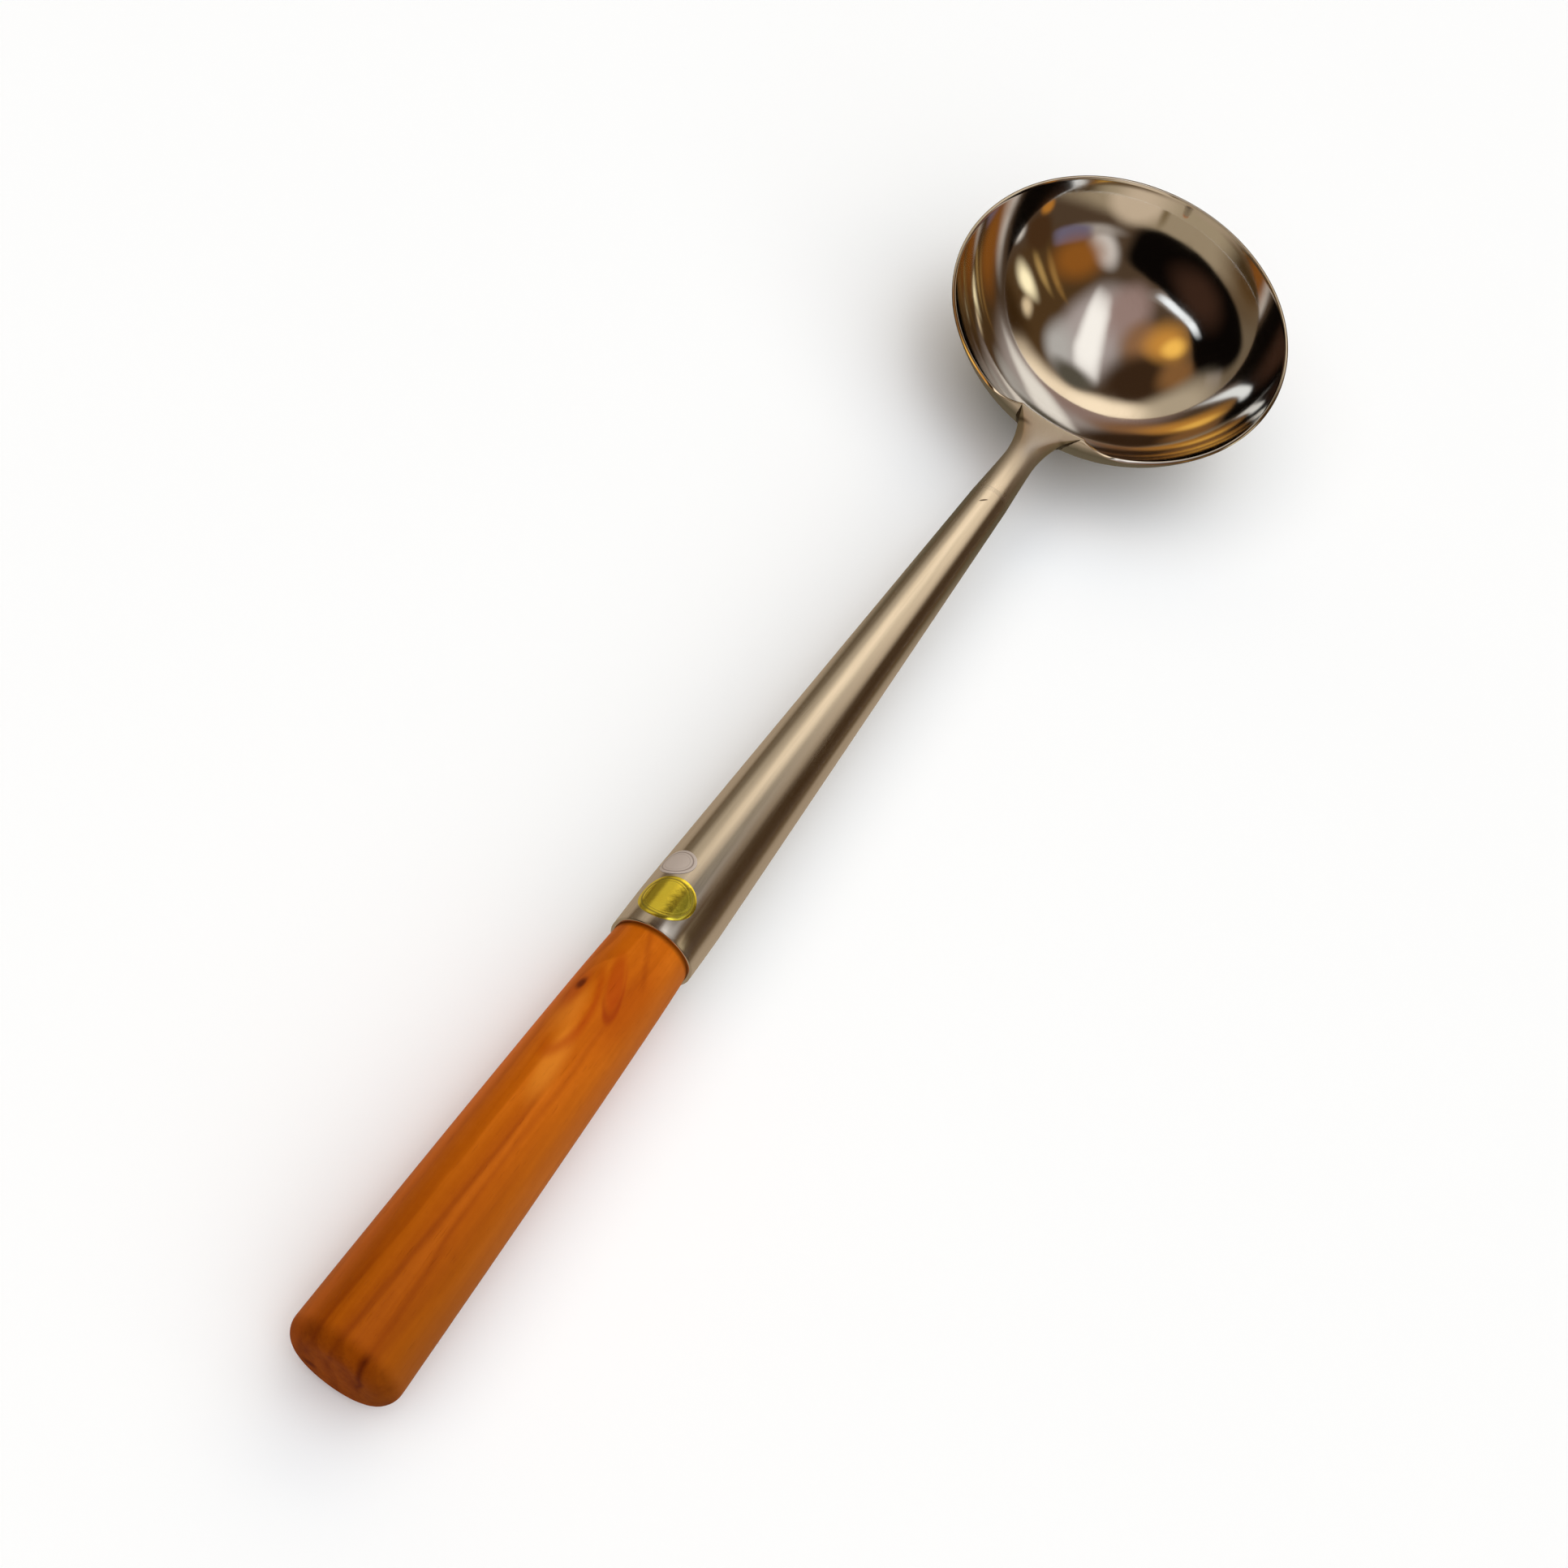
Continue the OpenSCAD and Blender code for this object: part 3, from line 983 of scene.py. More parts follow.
@dataclass(frozen=True)
class VarnishedWood(Finish):
    """Orange-brown hardwood under thin varnish, with growth rings, a knot and fine pores, painted shade
    and sheen along its sides and painted shade on its butt.
    """

    pale: Colour = (0.63, 0.150, 0.0060)
    middle: Colour = (0.53, 0.116, 0.0015)
    deep: Colour = (0.41, 0.078, 0.0004)
    flame: Colour = (0.40, 0.042, 0.0004)
    flame_edge: Colour = (0.24, 0.022, 0.0003)
    vein: Colour = (0.70, 0.56, 0.3)
    vein_w: float = 0.0006
    vein_lead: float = 0.008
    pore: Colour = (0.5, 0.4, 0.4)
    far: Colour = (0.64, 0.60, 0.2)
    far_x: Point = (0.025, 0.004)
    # end: painted shade on the butt's rounded end
    end: Colour = (0.64, 0.58, 0.4)
    end_x: Point = (0.0058, 0.0018)
    end_fleck: Colour = (0.6, 0.52, 0.5)
    stain: Colour = (0.45, 0.30, 0.3)
    stain_at: Point = (-0.006, -0.004)
    stain_size: Place = (0.007, 0.0024, 0.0017)
    run_y: float = 0.0064
    run_lean: float = 0.137
    run_x: Point = (0.0045, 0.002)
    # painted shade in the gap where the wood enters the shank's mouth, with grime
    gap_shade_and_grime: Colour = (0.10, 0.02, 0.001)
    joint_x: Point = (0.0002, 0.0016)
    ring: float = 0.0056
    pith: Point = (-0.040, -0.016)
    slant: float = 0.03
    slant_x: float = 0.30
    knot: Place = (0.2565, -0.0082, 0.0083)
    bulge: Place = (0.017, 0.009, 0.009)
    patches: Tuple[Mark, ...] = (
        Mark((0.2645, -0.0064), (0.0100, 0.0036), 0.0, 0.8, (0.68, 0.19, 0.014)),
        Mark((0.2790, -0.0020), (0.0150, 0.0034), 0.12, 0.8, (0.73, 0.225, 0.018)),
        Mark((0.2560, 0.0056), (0.0180, 0.0048), 0.0, 0.9, (0.74, 0.58, 0.15), "MULTIPLY"),
    )
    leaf: Mark = Mark((0.2530, -0.0006), (0.0098, 0.0025), 0.33)
    leaf_x: Point = (0.250, 0.259)
    leaf_y: Point = (-0.003, 0.002)
    loop: Mark = Mark((0.2640, -0.0062), (0.0130, 0.0048), 0.10)
    loop_y: Point = (-0.0085, -0.003)
    knots: Tuple[Mark, ...] = (
        Mark((0.2585, -0.0082), (0.0085, 0.0022), 0.0, 0.5, flame),
        Mark((0.2565, -0.0082), (0.0026, 0.0011), 0.0, 0.85, (0.10, 0.012, 0.0005)),
    )
    veins: Tuple[Vein, ...] = (
        Vein(0.0029, 0.259, 0.0018, (0.315, 0.352)),
        Vein(0.0008, 0.285, -0.0026, (0.29, 0.36)),
        Vein(-0.0066, 0.335, -0.0008, (0.29, 0.36)),
    )
    slip_at: Point = (0.2425, 0.0016)
    slip_slope: float = 0.42
    slip_end: Point = (0.247, 0.253)
    painted_light_strips: Tuple[PaintedLightStrip, ...] = (
        # painted shade on the left side
        PaintedLightStrip(-0.004, -0.013, 1.0, (0.80, 0.72, 0.4), "MULTIPLY"),
        # painted sheen along the left edge
        PaintedLightStrip(-0.0088, -0.0118, 0.9, (0.72, 0.16, 0.012)),
        # painted sheen on the right side
        PaintedLightStrip(0.002, 0.013, 0.4, (0.40, 0.125, 0.018)),
    )

    @staticmethod
    def around(graph: Graph, here: Socket, middle: Sequence[float],
               sizes: Sequence[float]) -> Num:
        """Distance from a place, counted in the half sizes of an egg shape.

        Args:
            graph: Tree to add nodes to.
            here: Coordinates along the axis.
            middle: Middle of the egg.
            sizes: Half sizes of the egg.

        Returns:
            0 at the middle and 1 on the egg.
        """
        away = graph.vector("SUBTRACT", here, middle)
        return span(*graph.xyz(graph.vector("MULTIPLY", away, [1 / size for size in sizes])))

    def figure(self, graph: Graph, bent: Socket, sway: Num, top: Num,
               wood: Socket) -> Socket:
        """Lay the patches, the flame, the veins and the knot on the top of the wood.

        Args:
            graph: Tree to add nodes to.
            bent: Coordinates along the axis, bent by the grain.
            sway: How far the grain sways.
            top: 1 on the top of the handle and 0 below.
            wood: Colour of the plain wood.

        Returns:
            The colour with its figure.
        """
        x, y, _ = graph.xyz(bent)
        for mark in self.patches:
            wood = graph.mix(mark.cover(graph, bent) * top * mark.share, wood, mark.tone, mark.way)
        leaf = self.leaf.reach(graph, bent)
        heart = (1 - leaf.step(0.5, 1.15)) * 0.6
        edge = leaf.band(0.92, 0.14, 0.14) * y.step(*self.leaf_y) * 0.5
        wood = graph.mix(heart.most(edge) * top, wood, self.flame)
        wood = graph.mix(edge * x.step(*self.leaf_x) * top * 0.8, wood, self.flame_edge)
        loop = self.loop.reach(graph, bent).band(1.0, 0.17, 0.16) * y.step(*self.loop_y)
        wood = graph.mix(loop * top * 0.55, wood, self.flame)
        lines = [(y - vein.y - x.step(*vein.drift_x) * vein.drift,
                  x.step(vein.start, vein.start + self.vein_lead)) for vein in self.veins]
        lines.append((y - self.slip_at[1] - (x - self.slip_at[0]) * self.slip_slope,
                      1 - x.step(*self.slip_end)))
        for away, length in lines:
            line = (away + sway * 0.0012).band(0.0, self.vein_w, self.vein_w) * length
            wood = graph.mix(line * top * 0.5, wood, self.vein, "MULTIPLY")
        for mark in self.knots:
            wood = graph.mix(mark.cover(graph, bent) * top * mark.share, wood, mark.tone)
        return wood

    def butt(self, graph: Graph, layout: Layout, bent: Socket, fleck: Num, end: Num,
             wood: Socket) -> Socket:
        """Paint shade on the butt's rounded end, with a stain and a run across its end.

        Args:
            graph: Tree to add nodes to.
            layout: Sizes and frames of the ladle.
            bent: Coordinates along the axis, bent by the grain.
            fleck: Fine noise of the wood.
            end: 1 on the butt's end and 0 before it.
            wood: Colour of the wood.

        Returns:
            The darkened colour.
        """
        x, y, z = graph.xyz(bent)
        # painted shade on the butt's rounded end
        wood = graph.mix(end, wood, self.end, "MULTIPLY")
        wood = graph.mix(end * fleck.step(0.5, 0.68) * 0.25, wood, self.end_fleck, "MULTIPLY")
        spot = self.around(graph, bent, (layout.butt_x, *self.stain_at), self.stain_size)
        run = (y - self.run_y + z * self.run_lean).band(0.0, 0.0007, 0.0009) * z.step(-0.003, 0.003)
        run = run * x.step(*(layout.butt_x - short for short in self.run_x))
        stain = ((1 - spot.step(0.3, 1.1)) * 0.8).most(run * 0.9)
        return graph.mix(stain, wood, self.stain, "MULTIPLY")

    def paint(self, graph: Graph, layout: Layout) -> Values:
        """Give the values of the shader's sockets.

        Args:
            graph: Tree to add nodes to.
            layout: Sizes and frames of the ladle.

        Returns:
            A value or a link for each socket, by name.
        """
        mouth, butt = layout.mouth_x, layout.butt_x
        here = graph.local(layout.axis_frame)
        x, y, z = graph.xyz(here)
        sway = graph.drawn(here, 16.0, 45.0, 2.0, 0.5, 0.3) - 0.5
        wander = graph.drawn(here, 34.0, 150.0, 2.0) - 0.5
        bulge = 1 - self.around(graph, here, self.knot, self.bulge).step(0.0, 1.0)
        across = y - self.pith[0] + sway * 0.006
        height = z - self.pith[1] + (x - self.slant_x) * self.slant
        reach = span(across, height) + wander * 0.0016 + bulge * 0.0075
        phase = (reach / self.ring).wrap(1.0, 0.0)
        ring = phase.step(0.10, 0.82) * (1 - phase.step(0.88, 1.0))
        fibre = graph.drawn(here, 22.0, 900.0, 4.0, 0.62)
        band = graph.drawn(here, 9.0, 190.0, 3.0, 0.55)
        pore = graph.drawn(here, 190.0, 3600.0, 1.0).step(0.66, 0.76)
        fleck = graph.noise(here, 420.0, 3.0, 0.6)
        tone = ring * 0.2 + band * 0.55 + fibre * 0.4 + fleck * 0.22 - 0.18
        wood = graph.ramp(tone, [(0.22, self.pale), (0.50, self.middle), (0.85, self.deep)])

        bent = graph.vector("ADD", here, graph.join(0.0, wander * 0.003, 0.0))
        wood = self.figure(graph, bent, sway, z.step(-0.002, 0.004), wood)
        # painted shade and sheen along the handle's sides
        for strip in self.painted_light_strips:
            share = y.step(strip.inside, strip.outside) * strip.share
            wood = graph.mix(share, wood, strip.tone, strip.way)
        wood = graph.mix(x.step(mouth + self.far_x[0], butt + self.far_x[1]), wood, self.far, "MULTIPLY")
        # end marks the butt's end, for its painted shade and its rougher end grain
        end = x.step(*(butt - short for short in self.end_x))
        wood = self.butt(graph, layout, bent, fleck, end, wood)
        # painted shade in the gap at the shank's mouth, with grime
        gap_shade_and_grime = 1 - x.step(*(mouth + past for past in self.joint_x))
        wood = graph.mix(gap_shade_and_grime * 0.6, wood, self.gap_shade_and_grime)
        return {
            "Base Color": graph.mix(pore * 0.3, wood, self.pore, "MULTIPLY"),
            "Roughness": fibre * 0.16 + pore * 0.2 + end * 0.45 + 0.36,
            "Coat Weight": 0.03 - end * 0.03 - pore * 0.01,
            "Coat Roughness": 0.25,
            "Specular IOR Level": 0.04,
            "Normal": graph.bump(fibre * 0.6 - pore, 2.2e-5, graph.bump(band, 1e-4)),
        }


@dataclass(frozen=True)
class Film(Finish):
    """Label film with two printed border rings."""

    film: Colour
    fold: Colour
    ink: Colour
    rings: Point

    def border(self, graph: Graph) -> Tuple[Num, Num]:
        """Find the border.

        Args:
            graph: Tree to add nodes to.

        Returns:
            The outer and the inner ring.
        """
        u, v, _ = graph.xyz(graph.add("ShaderNodeUVMap").outputs["UV"])
        reach = span(u * 2.0 - 1.0, v * 2.0 - 1.0)
        return reach.band(self.rings[0], 0.030, 0.020), reach.band(self.rings[1], 0.014, 0.012)


@dataclass(frozen=True)
class GoldFilm(Film):
    """Bright creased gold film."""

    def paint(self, graph: Graph, layout: Layout) -> Values:
        """Give the values of the shader's sockets.

        Args:
            graph: Tree to add nodes to.
            layout: Sizes and frames of the ladle.

        Returns:
            A value or a link for each socket, by name.
        """
        here = graph.local(layout.axis_frame)
        crease = graph.noise(here, 420.0, 3.0, 0.55)
        speck = graph.noise(here, 5200.0, 2.0)
        outer, inner = self.border(graph)
        ink = (outer * 0.75).most(inner * 0.5)
        film = graph.mix(crease.step(0.35, 0.8) * 0.4, self.film, self.fold)
        return {
            "Base Color": graph.mix(ink, film, self.ink),
            "Metallic": 0.94 - ink * 0.3,
            "Roughness": crease * 0.08 + speck * 0.04 + ink * 0.15 + 0.07,
            "Normal": graph.bump(crease, 3.5e-5, graph.bump(ink, 1.2e-5)),
        }


@dataclass(frozen=True)
class PaleFilm(Film):
    """Thin pinkish-white film."""

    def paint(self, graph: Graph, layout: Layout) -> Values:
        """Give the values of the shader's sockets.

        Args:
            graph: Tree to add nodes to.
            layout: Sizes and frames of the ladle.

        Returns:
            A value or a link for each socket, by name.
        """
        here = graph.local(layout.axis_frame)
        crease = graph.noise(here, 500.0, 3.0, 0.55)
        fibre = graph.noise(here, 4200.0, 3.0, 0.6)
        outer, inner = self.border(graph)
        film = graph.mix(fibre * 0.5 + crease * 0.3, self.film, self.fold)
        return {
            "Base Color": graph.mix(outer.most(inner * 0.5) * 0.75, film, self.ink),
            "Roughness": fibre * 0.12 + crease * 0.08 + 0.22,
            "Normal": graph.bump(crease, 3e-5),
        }


@dataclass(frozen=True)
class PaleFloor(Finish):
    """Matt near-white floor with a barely seen mottle."""

    tone: float = 0.972

    def paint(self, graph: Graph, layout: Layout) -> Values:
        """Give the values of the shader's sockets.

        Args:
            graph: Tree to add nodes to.
            layout: Not used.

        Returns:
            A value or a link for each socket, by name.
        """
        here = graph.add("ShaderNodeTexCoord").outputs["Object"]
        mottle = graph.noise(here, 9.0, 4.0)
        low, high = self.tone - 0.006, self.tone + 0.002
        return {
            "Base Color": graph.mix(mottle, (low, low, low * 0.994), (high, high, high * 0.994)),
            "Roughness": mottle * 0.1 + 0.85,
            "Specular IOR Level": 0.05,
        }


class Dress(Enum):
    """Finishes of the ladle."""

    BOWL = PolishedSteel("polished steel")
    SHANK = BrushedSteel("brushed steel")
    NECK = NeckSteel("satin steel", (0.86, 0.82, 0.765), (0.76, 0.71, 0.64), gloss=0.20, foot=0.26)
    WELD = WeldSteel("weld steel")
    FOOT = WeldSteel("dark weld", (0.24, 0.19, 0.135), (0.09, 0.06, 0.035))
    GROUND = BrushedSteel("ground weld", (0.78, 0.745, 0.695), (0.70, 0.655, 0.59), gloss=0.21)
    WOOD = VarnishedWood("varnished wood")
    NAIL = BrushedSteel("nail steel", (0.60, 0.58, 0.55), (0.46, 0.43, 0.39), gloss=0.24)
    GOLD = GoldFilm("gold film", film=(1.0, 0.86, 0.09), fold=(0.95, 0.74, 0.06),
                    ink=(0.20, 0.13, 0.02), rings=(0.85, 0.74))
    PALE = PaleFilm("pale film", film=(0.50, 0.41, 0.35), fold=(0.53, 0.45, 0.39),
                    ink=(0.16, 0.11, 0.09), rings=(0.82, 0.66))


# Pieces


def arc(middle: Point, along: float, out: float, degrees: Sequence[float]) -> List[Point]:
    """Points of a round edge.

    Args:
        middle: Middle of the round, along and out.
        along: Its half size along.
        out: Its half size outward.
        degrees: Angle of each point, 0 outward and 90 along.

    Returns:
        The points, along and out.
    """
    return [(middle[0] + along * math.sin(math.radians(d)), middle[1] + out * math.cos(math.radians(d)))
            for d in degrees]


@dataclass
class Piece:
    """One separate piece of the ladle."""

    layout: Layout
    node: str
    slot: str
    dress: Dress
    sharp: float = 40

    def shape(self) -> Body:
        """Model the piece and put it in place."""
        raise NotImplementedError

    def make(self, materials: Mapping[Dress, bpy.types.Material]) -> Body:
        """Model the piece, dress it and tie it to the frame.

        Args:
            materials: Material of each finish.

        Returns:
            The finished piece.
        """
        body = self.shape()
        body.data.materials.clear()
        body.data.materials.append(materials[self.dress])
        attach(body, "root")
        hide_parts(self.node)
        LOG.info("%s: %d faces", body.name, len(body.data.polygons))
        return body


@dataclass
class Bowl(Piece):
    """Pressed round bowl with the lip raised from its wall."""

    sharp: float = 50
    wall: float = 0.0012
    edge: float = 0.00042
    passes: int = 12
    steps: int = 288
    rows: int = 64

    def edge_angle(self, turn: float) -> float:
        """Angle of the rim's edge, from the bottom of the ball.

        Args:
            turn: Direction round the bowl, in radians from the handle.

        Returns:
            The angle in radians.
        """
        lay = self.layout
        z = 0.0
        if math.cos(turn) > 0:
            for _ in range(self.passes):
                reach = math.sqrt(lay.ball_r ** 2 - (z - lay.ball_z) ** 2)
                z = lay.lip_z(reach * math.sin(turn))
        return math.acos((lay.ball_z - z) / lay.ball_r)

    def shape(self) -> Body:
        """Model the piece and put it in place.

        Returns:
            The piece, still to be dressed.
        """
        lay = self.layout
        full = math.acos(lay.ball_z / lay.ball_r)
        line = [Vector((lay.ball_r * math.sin(full * i / self.rows), 0.0,
                        lay.ball_z - lay.ball_r * math.cos(full * i / self.rows)))
                for i in range(self.rows + 1)]
        body = Bench.draw("bowl_sheet", line)
        Bench.spin(body, (0, 0, 1), self.steps)
        for vertex in body.data.vertices:
            across = math.hypot(vertex.co.x, vertex.co.y)
            if across < 1e-6:
                continue
            turn = math.atan2(vertex.co.y, vertex.co.x)
            angle = math.atan2(across, lay.ball_z - vertex.co.z) * self.edge_angle(turn) / full
            out = lay.ball_r * math.sin(angle)
            vertex.co = lay.folded(Vector((out * math.cos(turn), out * math.sin(turn),
                                           lay.ball_z - lay.ball_r * math.cos(angle))))
        Bench.modify(body, "SOLIDIFY", thickness=self.wall, offset=-1.0, use_even_offset=True)
        Bench.modify(body, "BEVEL", width=self.edge, segments=3, limit_method="ANGLE",
                     angle_limit=math.radians(self.sharp), harden_normals=False)
        Bench.place(body, lay.rim_frame, self.sharp)
        return body


@dataclass
class Neck(Piece):
    """Solid neck that flares to the bowl and enters the shank with a spigot."""

    spigot_l: float = 0.012
    spigot_gap: float = 0.0001
    spigot_bevel: float = 0.001
    crowd: float = 0.35
    sides: int = 144
    rows: int = 110

    def section(self, turn: float, v: float) -> Vector:
        """Surface of the neck.

        Args:
            turn: Degrees round the neck.
            v: 0 in the middle of the foot, 1 at the spigot's end.

        Returns:
            The point in the axis frame.
        """
        lay = self.layout
        foot, flared, plain = 0.08, 0.62, 0.90
        if v <= foot:
            s = v / foot
            y, z = lay.foot(turn)
            return lay.on_bowl(y * s, -lay.axis_drop + (z + lay.axis_drop) * s, lay.gap)
        if v <= flared:
            u = (v - foot) / (flared - foot)
            return lay.flare(turn, u * (self.crowd + (1 - self.crowd) * u))
        joint_r = lay.shank_r(lay.neck_l)
        end_x = lay.neck_l - lay.ring_w / 2
        if v <= plain:
            u = (v - flared) / (plain - flared)
            return lay.neck_skin(turn, lay.waist_x + (end_x - lay.waist_x) * u)
        inner = joint_r - lay.shank_wall - self.spigot_gap
        near = lay.neck_l - lay.gap
        far = lay.neck_l + self.spigot_l
        way = [(end_x, joint_r), (near, joint_r - lay.ring_depth), (near, inner),
               (far - self.spigot_bevel, inner), (far, inner - self.spigot_bevel), (far, 0.0)]
        t = (v - plain) / (1 - plain) * (len(way) - 1)
        i = min(int(t), len(way) - 2)
        (x0, r0), (x1, r1) = way[i], way[i + 1]
        x, r = x0 + (x1 - x0) * (t - i), r0 + (r1 - r0) * (t - i)
        a = math.radians(turn)
        return Vector((x, r * math.cos(a), r * math.sin(a)))

    def shape(self) -> Body:
        """Model the piece and put it in place.

        Returns:
            The piece, still to be dressed.
        """
        body = Bench.wrap("neck_flare", self.sides, self.rows, lambda a, v: self.section(a * 360, v))
        Bench.place(body, self.layout.axis_frame, self.sharp)
        return body


@dataclass
class FootWeld(Piece):
    """Hollow fillet of weld round the sides and the underside of the neck's foot."""

    sharp: float = 50
    leg: float = 0.0014
    thin: float = 0.25
    swell: float = 7
    ripple: float = 0.05
    ripples: float = 170
    sag: float = 0.38
    first: float = 125
    last: float = 415
    across: int = 12
    along: int = 180

    def section(self, a: float, v: float) -> Vector:
        """Surface of the fillet.

        Args:
            a: Place round the fillet's section, from 0 to 1.
            v: Place along the fillet, from 0 to 1.

        Returns:
            The point in the axis frame.
        """
        lay = self.layout
        turn = self.first + (self.last - self.first) * v
        grown = min(1.0, self.thin + self.swell * min(v, 1 - v))
        leg = self.leg * grown * (1 + self.ripple * math.sin(v * self.ripples))
        t = math.radians(turn)
        off = 2 * lay.gap
        neck_toe = lay.flare(turn % 360, leg / lay.waist_x) + off * Vector((0, math.cos(t), math.sin(t)))
        bowl_toe = lay.on_bowl(*lay.foot_grown(turn, leg), off)
        root = lay.on_bowl(*lay.foot_grown(turn, off), off)
        face, back = 0.7, 0.85
        if a <= face:
            s = a / face
            sag = root + (neck_toe + bowl_toe - 2 * root) * self.sag
            return neck_toe * (1 - s) ** 2 + sag * 2 * s * (1 - s) + bowl_toe * s * s
        if a <= back:
            return bowl_toe.lerp(root, (a - face) / (back - face))
        return root.lerp(neck_toe, (a - back) / (1 - back))

    def shape(self) -> Body:
        """Model the piece and put it in place.

        Returns:
            The piece, still to be dressed.
        """
        body = Bench.wrap("foot_weld", self.across, self.along, self.section)
        Bench.close(body)
        Bench.place(body, self.layout.axis_frame, self.sharp)
        return body


@dataclass
class RingWeld(Piece):
    """Ring of weld, ground flush, where the neck meets the shank."""

    ground: float = 0.00001
    steps: int = 128

    def shape(self) -> Body:
        """Model the piece and put it in place.

        Returns:
            The piece, still to be dressed.
        """
        lay = self.layout
        half = lay.ring_w / 2 - lay.gap
        stations = [lay.neck_l + half * t for t in (1, 0.6, 0.2, -0.2, -0.6, -1)]
        crown = [Vector((x, 0.0, lay.shank_r(x) - self.ground)) for x in stations]
        low = Vector((lay.neck_l, 0.0, lay.shank_r(lay.neck_l) - lay.ring_depth + lay.gap))
        body = Bench.draw("ring_weld", [low, *crown, low])
        Bench.spin(body, (1, 0, 0), self.steps)
        Bench.place(body, lay.axis_frame, self.sharp)
        return body


@dataclass
class Shank(Piece):
    """Tapered tube rolled from sheet, open along its seam."""

    edge: float = 0.00034
    bevel: float = 0.0001
    seam_r: float = 0.009
    steps: int = 176
    rows: int = 44

    def shape(self) -> Body:
        """Model the piece and put it in place.

        Returns:
            The piece, still to be dressed.
        """
        lay = self.layout
        start, mouth, e = lay.neck_l, lay.mouth_x, self.edge
        front = start + lay.ring_w / 2
        r, inner = lay.shank_d / 2, lay.shank_d / 2 - lay.shank_wall
        line = [(start, lay.shank_r(start) - lay.ring_depth)]
        line += [(x, lay.shank_r(x)) for x in
                 (front + (mouth - e - front) * i / self.rows for i in range(self.rows + 1))]
        line += arc((mouth - e, r - e), e, e, (22, 45, 68, 90))
        line += [(mouth, inner + self.bevel), (mouth - self.bevel, inner), (mouth - lay.mouth_l, inner),
                 (start, lay.shank_r(start) - lay.shank_wall)]
        line.append(line[0])
        half = lay.seam_w / 2
        opening = half / self.seam_r
        down = Matrix.Rotation(math.pi - opening, 3, "X")
        body = Bench.draw("shank_tube", [down @ Vector((x, 0.0, out)) for x, out in line])
        Bench.spin(body, (1, 0, 0), self.steps, -(math.tau - 2 * opening))
        for vertex in body.data.vertices:
            side = math.atan2(vertex.co.y, -vertex.co.z)
            if abs(abs(side) - opening) < 1e-4:
                reach = math.hypot(vertex.co.y, vertex.co.z)
                vertex.co.y = math.copysign(half, side)
                vertex.co.z = -math.sqrt(reach * reach - half * half)
        Bench.close(body)
        Bench.place(body, lay.axis_frame, self.sharp)
        return body


@dataclass
class SeamWeld(Piece):
    """Low bead of weld that closes the seam under the shank."""

    sharp: float = 50
    height: float = 0.0002
    ripple: float = 0.12
    ripples: float = 420
    stray: float = 3
    strays: float = 37
    lead: float = 0.0005
    across: int = 20
    along: int = 260

    def section(self, a: float, v: float) -> Vector:
        """Surface of the bead.

        Args:
            a: Place round the bead's section, from 0 to 1.
            v: Place along the bead, from 0 to 1.

        Returns:
            The point in the axis frame.
        """
        lay = self.layout
        start, end = lay.neck_l + lay.ring_w / 2 + self.lead, lay.mouth_x - self.lead
        x = start + (end - start) * v
        half = lay.seam_w / 2 - lay.gap
        top, low = lay.shank_r(x), lay.shank_r(x) - lay.shank_wall
        crown, slack = 0.6, 0.02
        if a < crown + slack:
            y = half * (1 - 2 * min(a, crown) / crown)
            stray = self.stray * math.sin(v * self.strays)
            wave = 1 + self.ripple * math.sin(v * self.ripples + stray)
            r = top + self.height * wave * (1 - (y / half) ** 2)
        elif a < 1 - slack:
            reach = (1 - crown) / 2 - 1 / self.across
            y = half * min(1.0, max(-1.0, (a - (1 + crown) / 2) / reach))
            r = low
        else:
            y, r = half, top
        return Vector((x, y, -math.sqrt(r * r - y * y)))

    def shape(self) -> Body:
        """Model the piece and put it in place.

        Returns:
            The piece, still to be dressed.
        """
        body = Bench.wrap("seam_bead", self.across, self.along, self.section)
        Bench.close(body)
        Bench.place(body, self.layout.axis_frame, self.sharp)
        return body


@dataclass
class Handle(Piece):
    """Turned wooden handle with a rounded butt and a tenon inside the shank."""

    thin_d: float = 0.0214
    bend: float = 0.7
    tenon_l: float = 0.046
    glue: float = 0.0001
    slack: float = 0.0002
    shoulder: float = 0.004
    tip_bevel: float = 0.0015
    crowd: float = 1.3
    steps: int = 160
    rows: int = 48

    def side_r(self, u: float) -> float:
        """Radius of the handle's side.

        Args:
            u: 0 at the shank's mouth, 1 where the butt's round begins.

        Returns:
            The radius there.
        """
        return self.thin_d / 2 + (self.layout.grip_d - self.thin_d) / 2 * u ** self.bend

    def shape(self) -> Body:
        """Model the piece and put it in place.

        Returns:
            The piece, still to be dressed.
        """
        lay = self.layout
        mouth, butt, e = lay.mouth_x, lay.butt_x, lay.butt_round
        bore = lay.shank_d / 2 - lay.shank_wall
        tenon_r = min(bore - self.glue, self.thin_d / 2)
        tip = mouth - self.tenon_l
        tip_r = lay.shank_r(tip) - lay.shank_wall - self.glue
        line = [(tip, 0.0), (tip, tip_r - self.tip_bevel), (tip + self.tip_bevel, tip_r - self.slack / 4),
                (mouth - lay.mouth_l - self.shoulder, tenon_r - self.slack), (mouth, tenon_r)]
        places = [(i / self.rows) ** self.crowd for i in range(1, self.rows + 1)]
        line += [(mouth + (lay.grip_l - e) * u, self.side_r(u)) for u in places]
        flat = lay.grip_d / 2 - e
        line += arc((butt - e, flat), e, e, range(8, 91, 8))
        line += [(butt, flat * s) for s in (0.92, 0.6, 0.3, 0.0)]
        body = Bench.draw("wooden_handle", [Vector((x, 0.0, r)) for x, r in line])
        Bench.spin(body, (1, 0, 0), self.steps)
        Bench.place(body, lay.axis_frame, self.sharp)
        return body


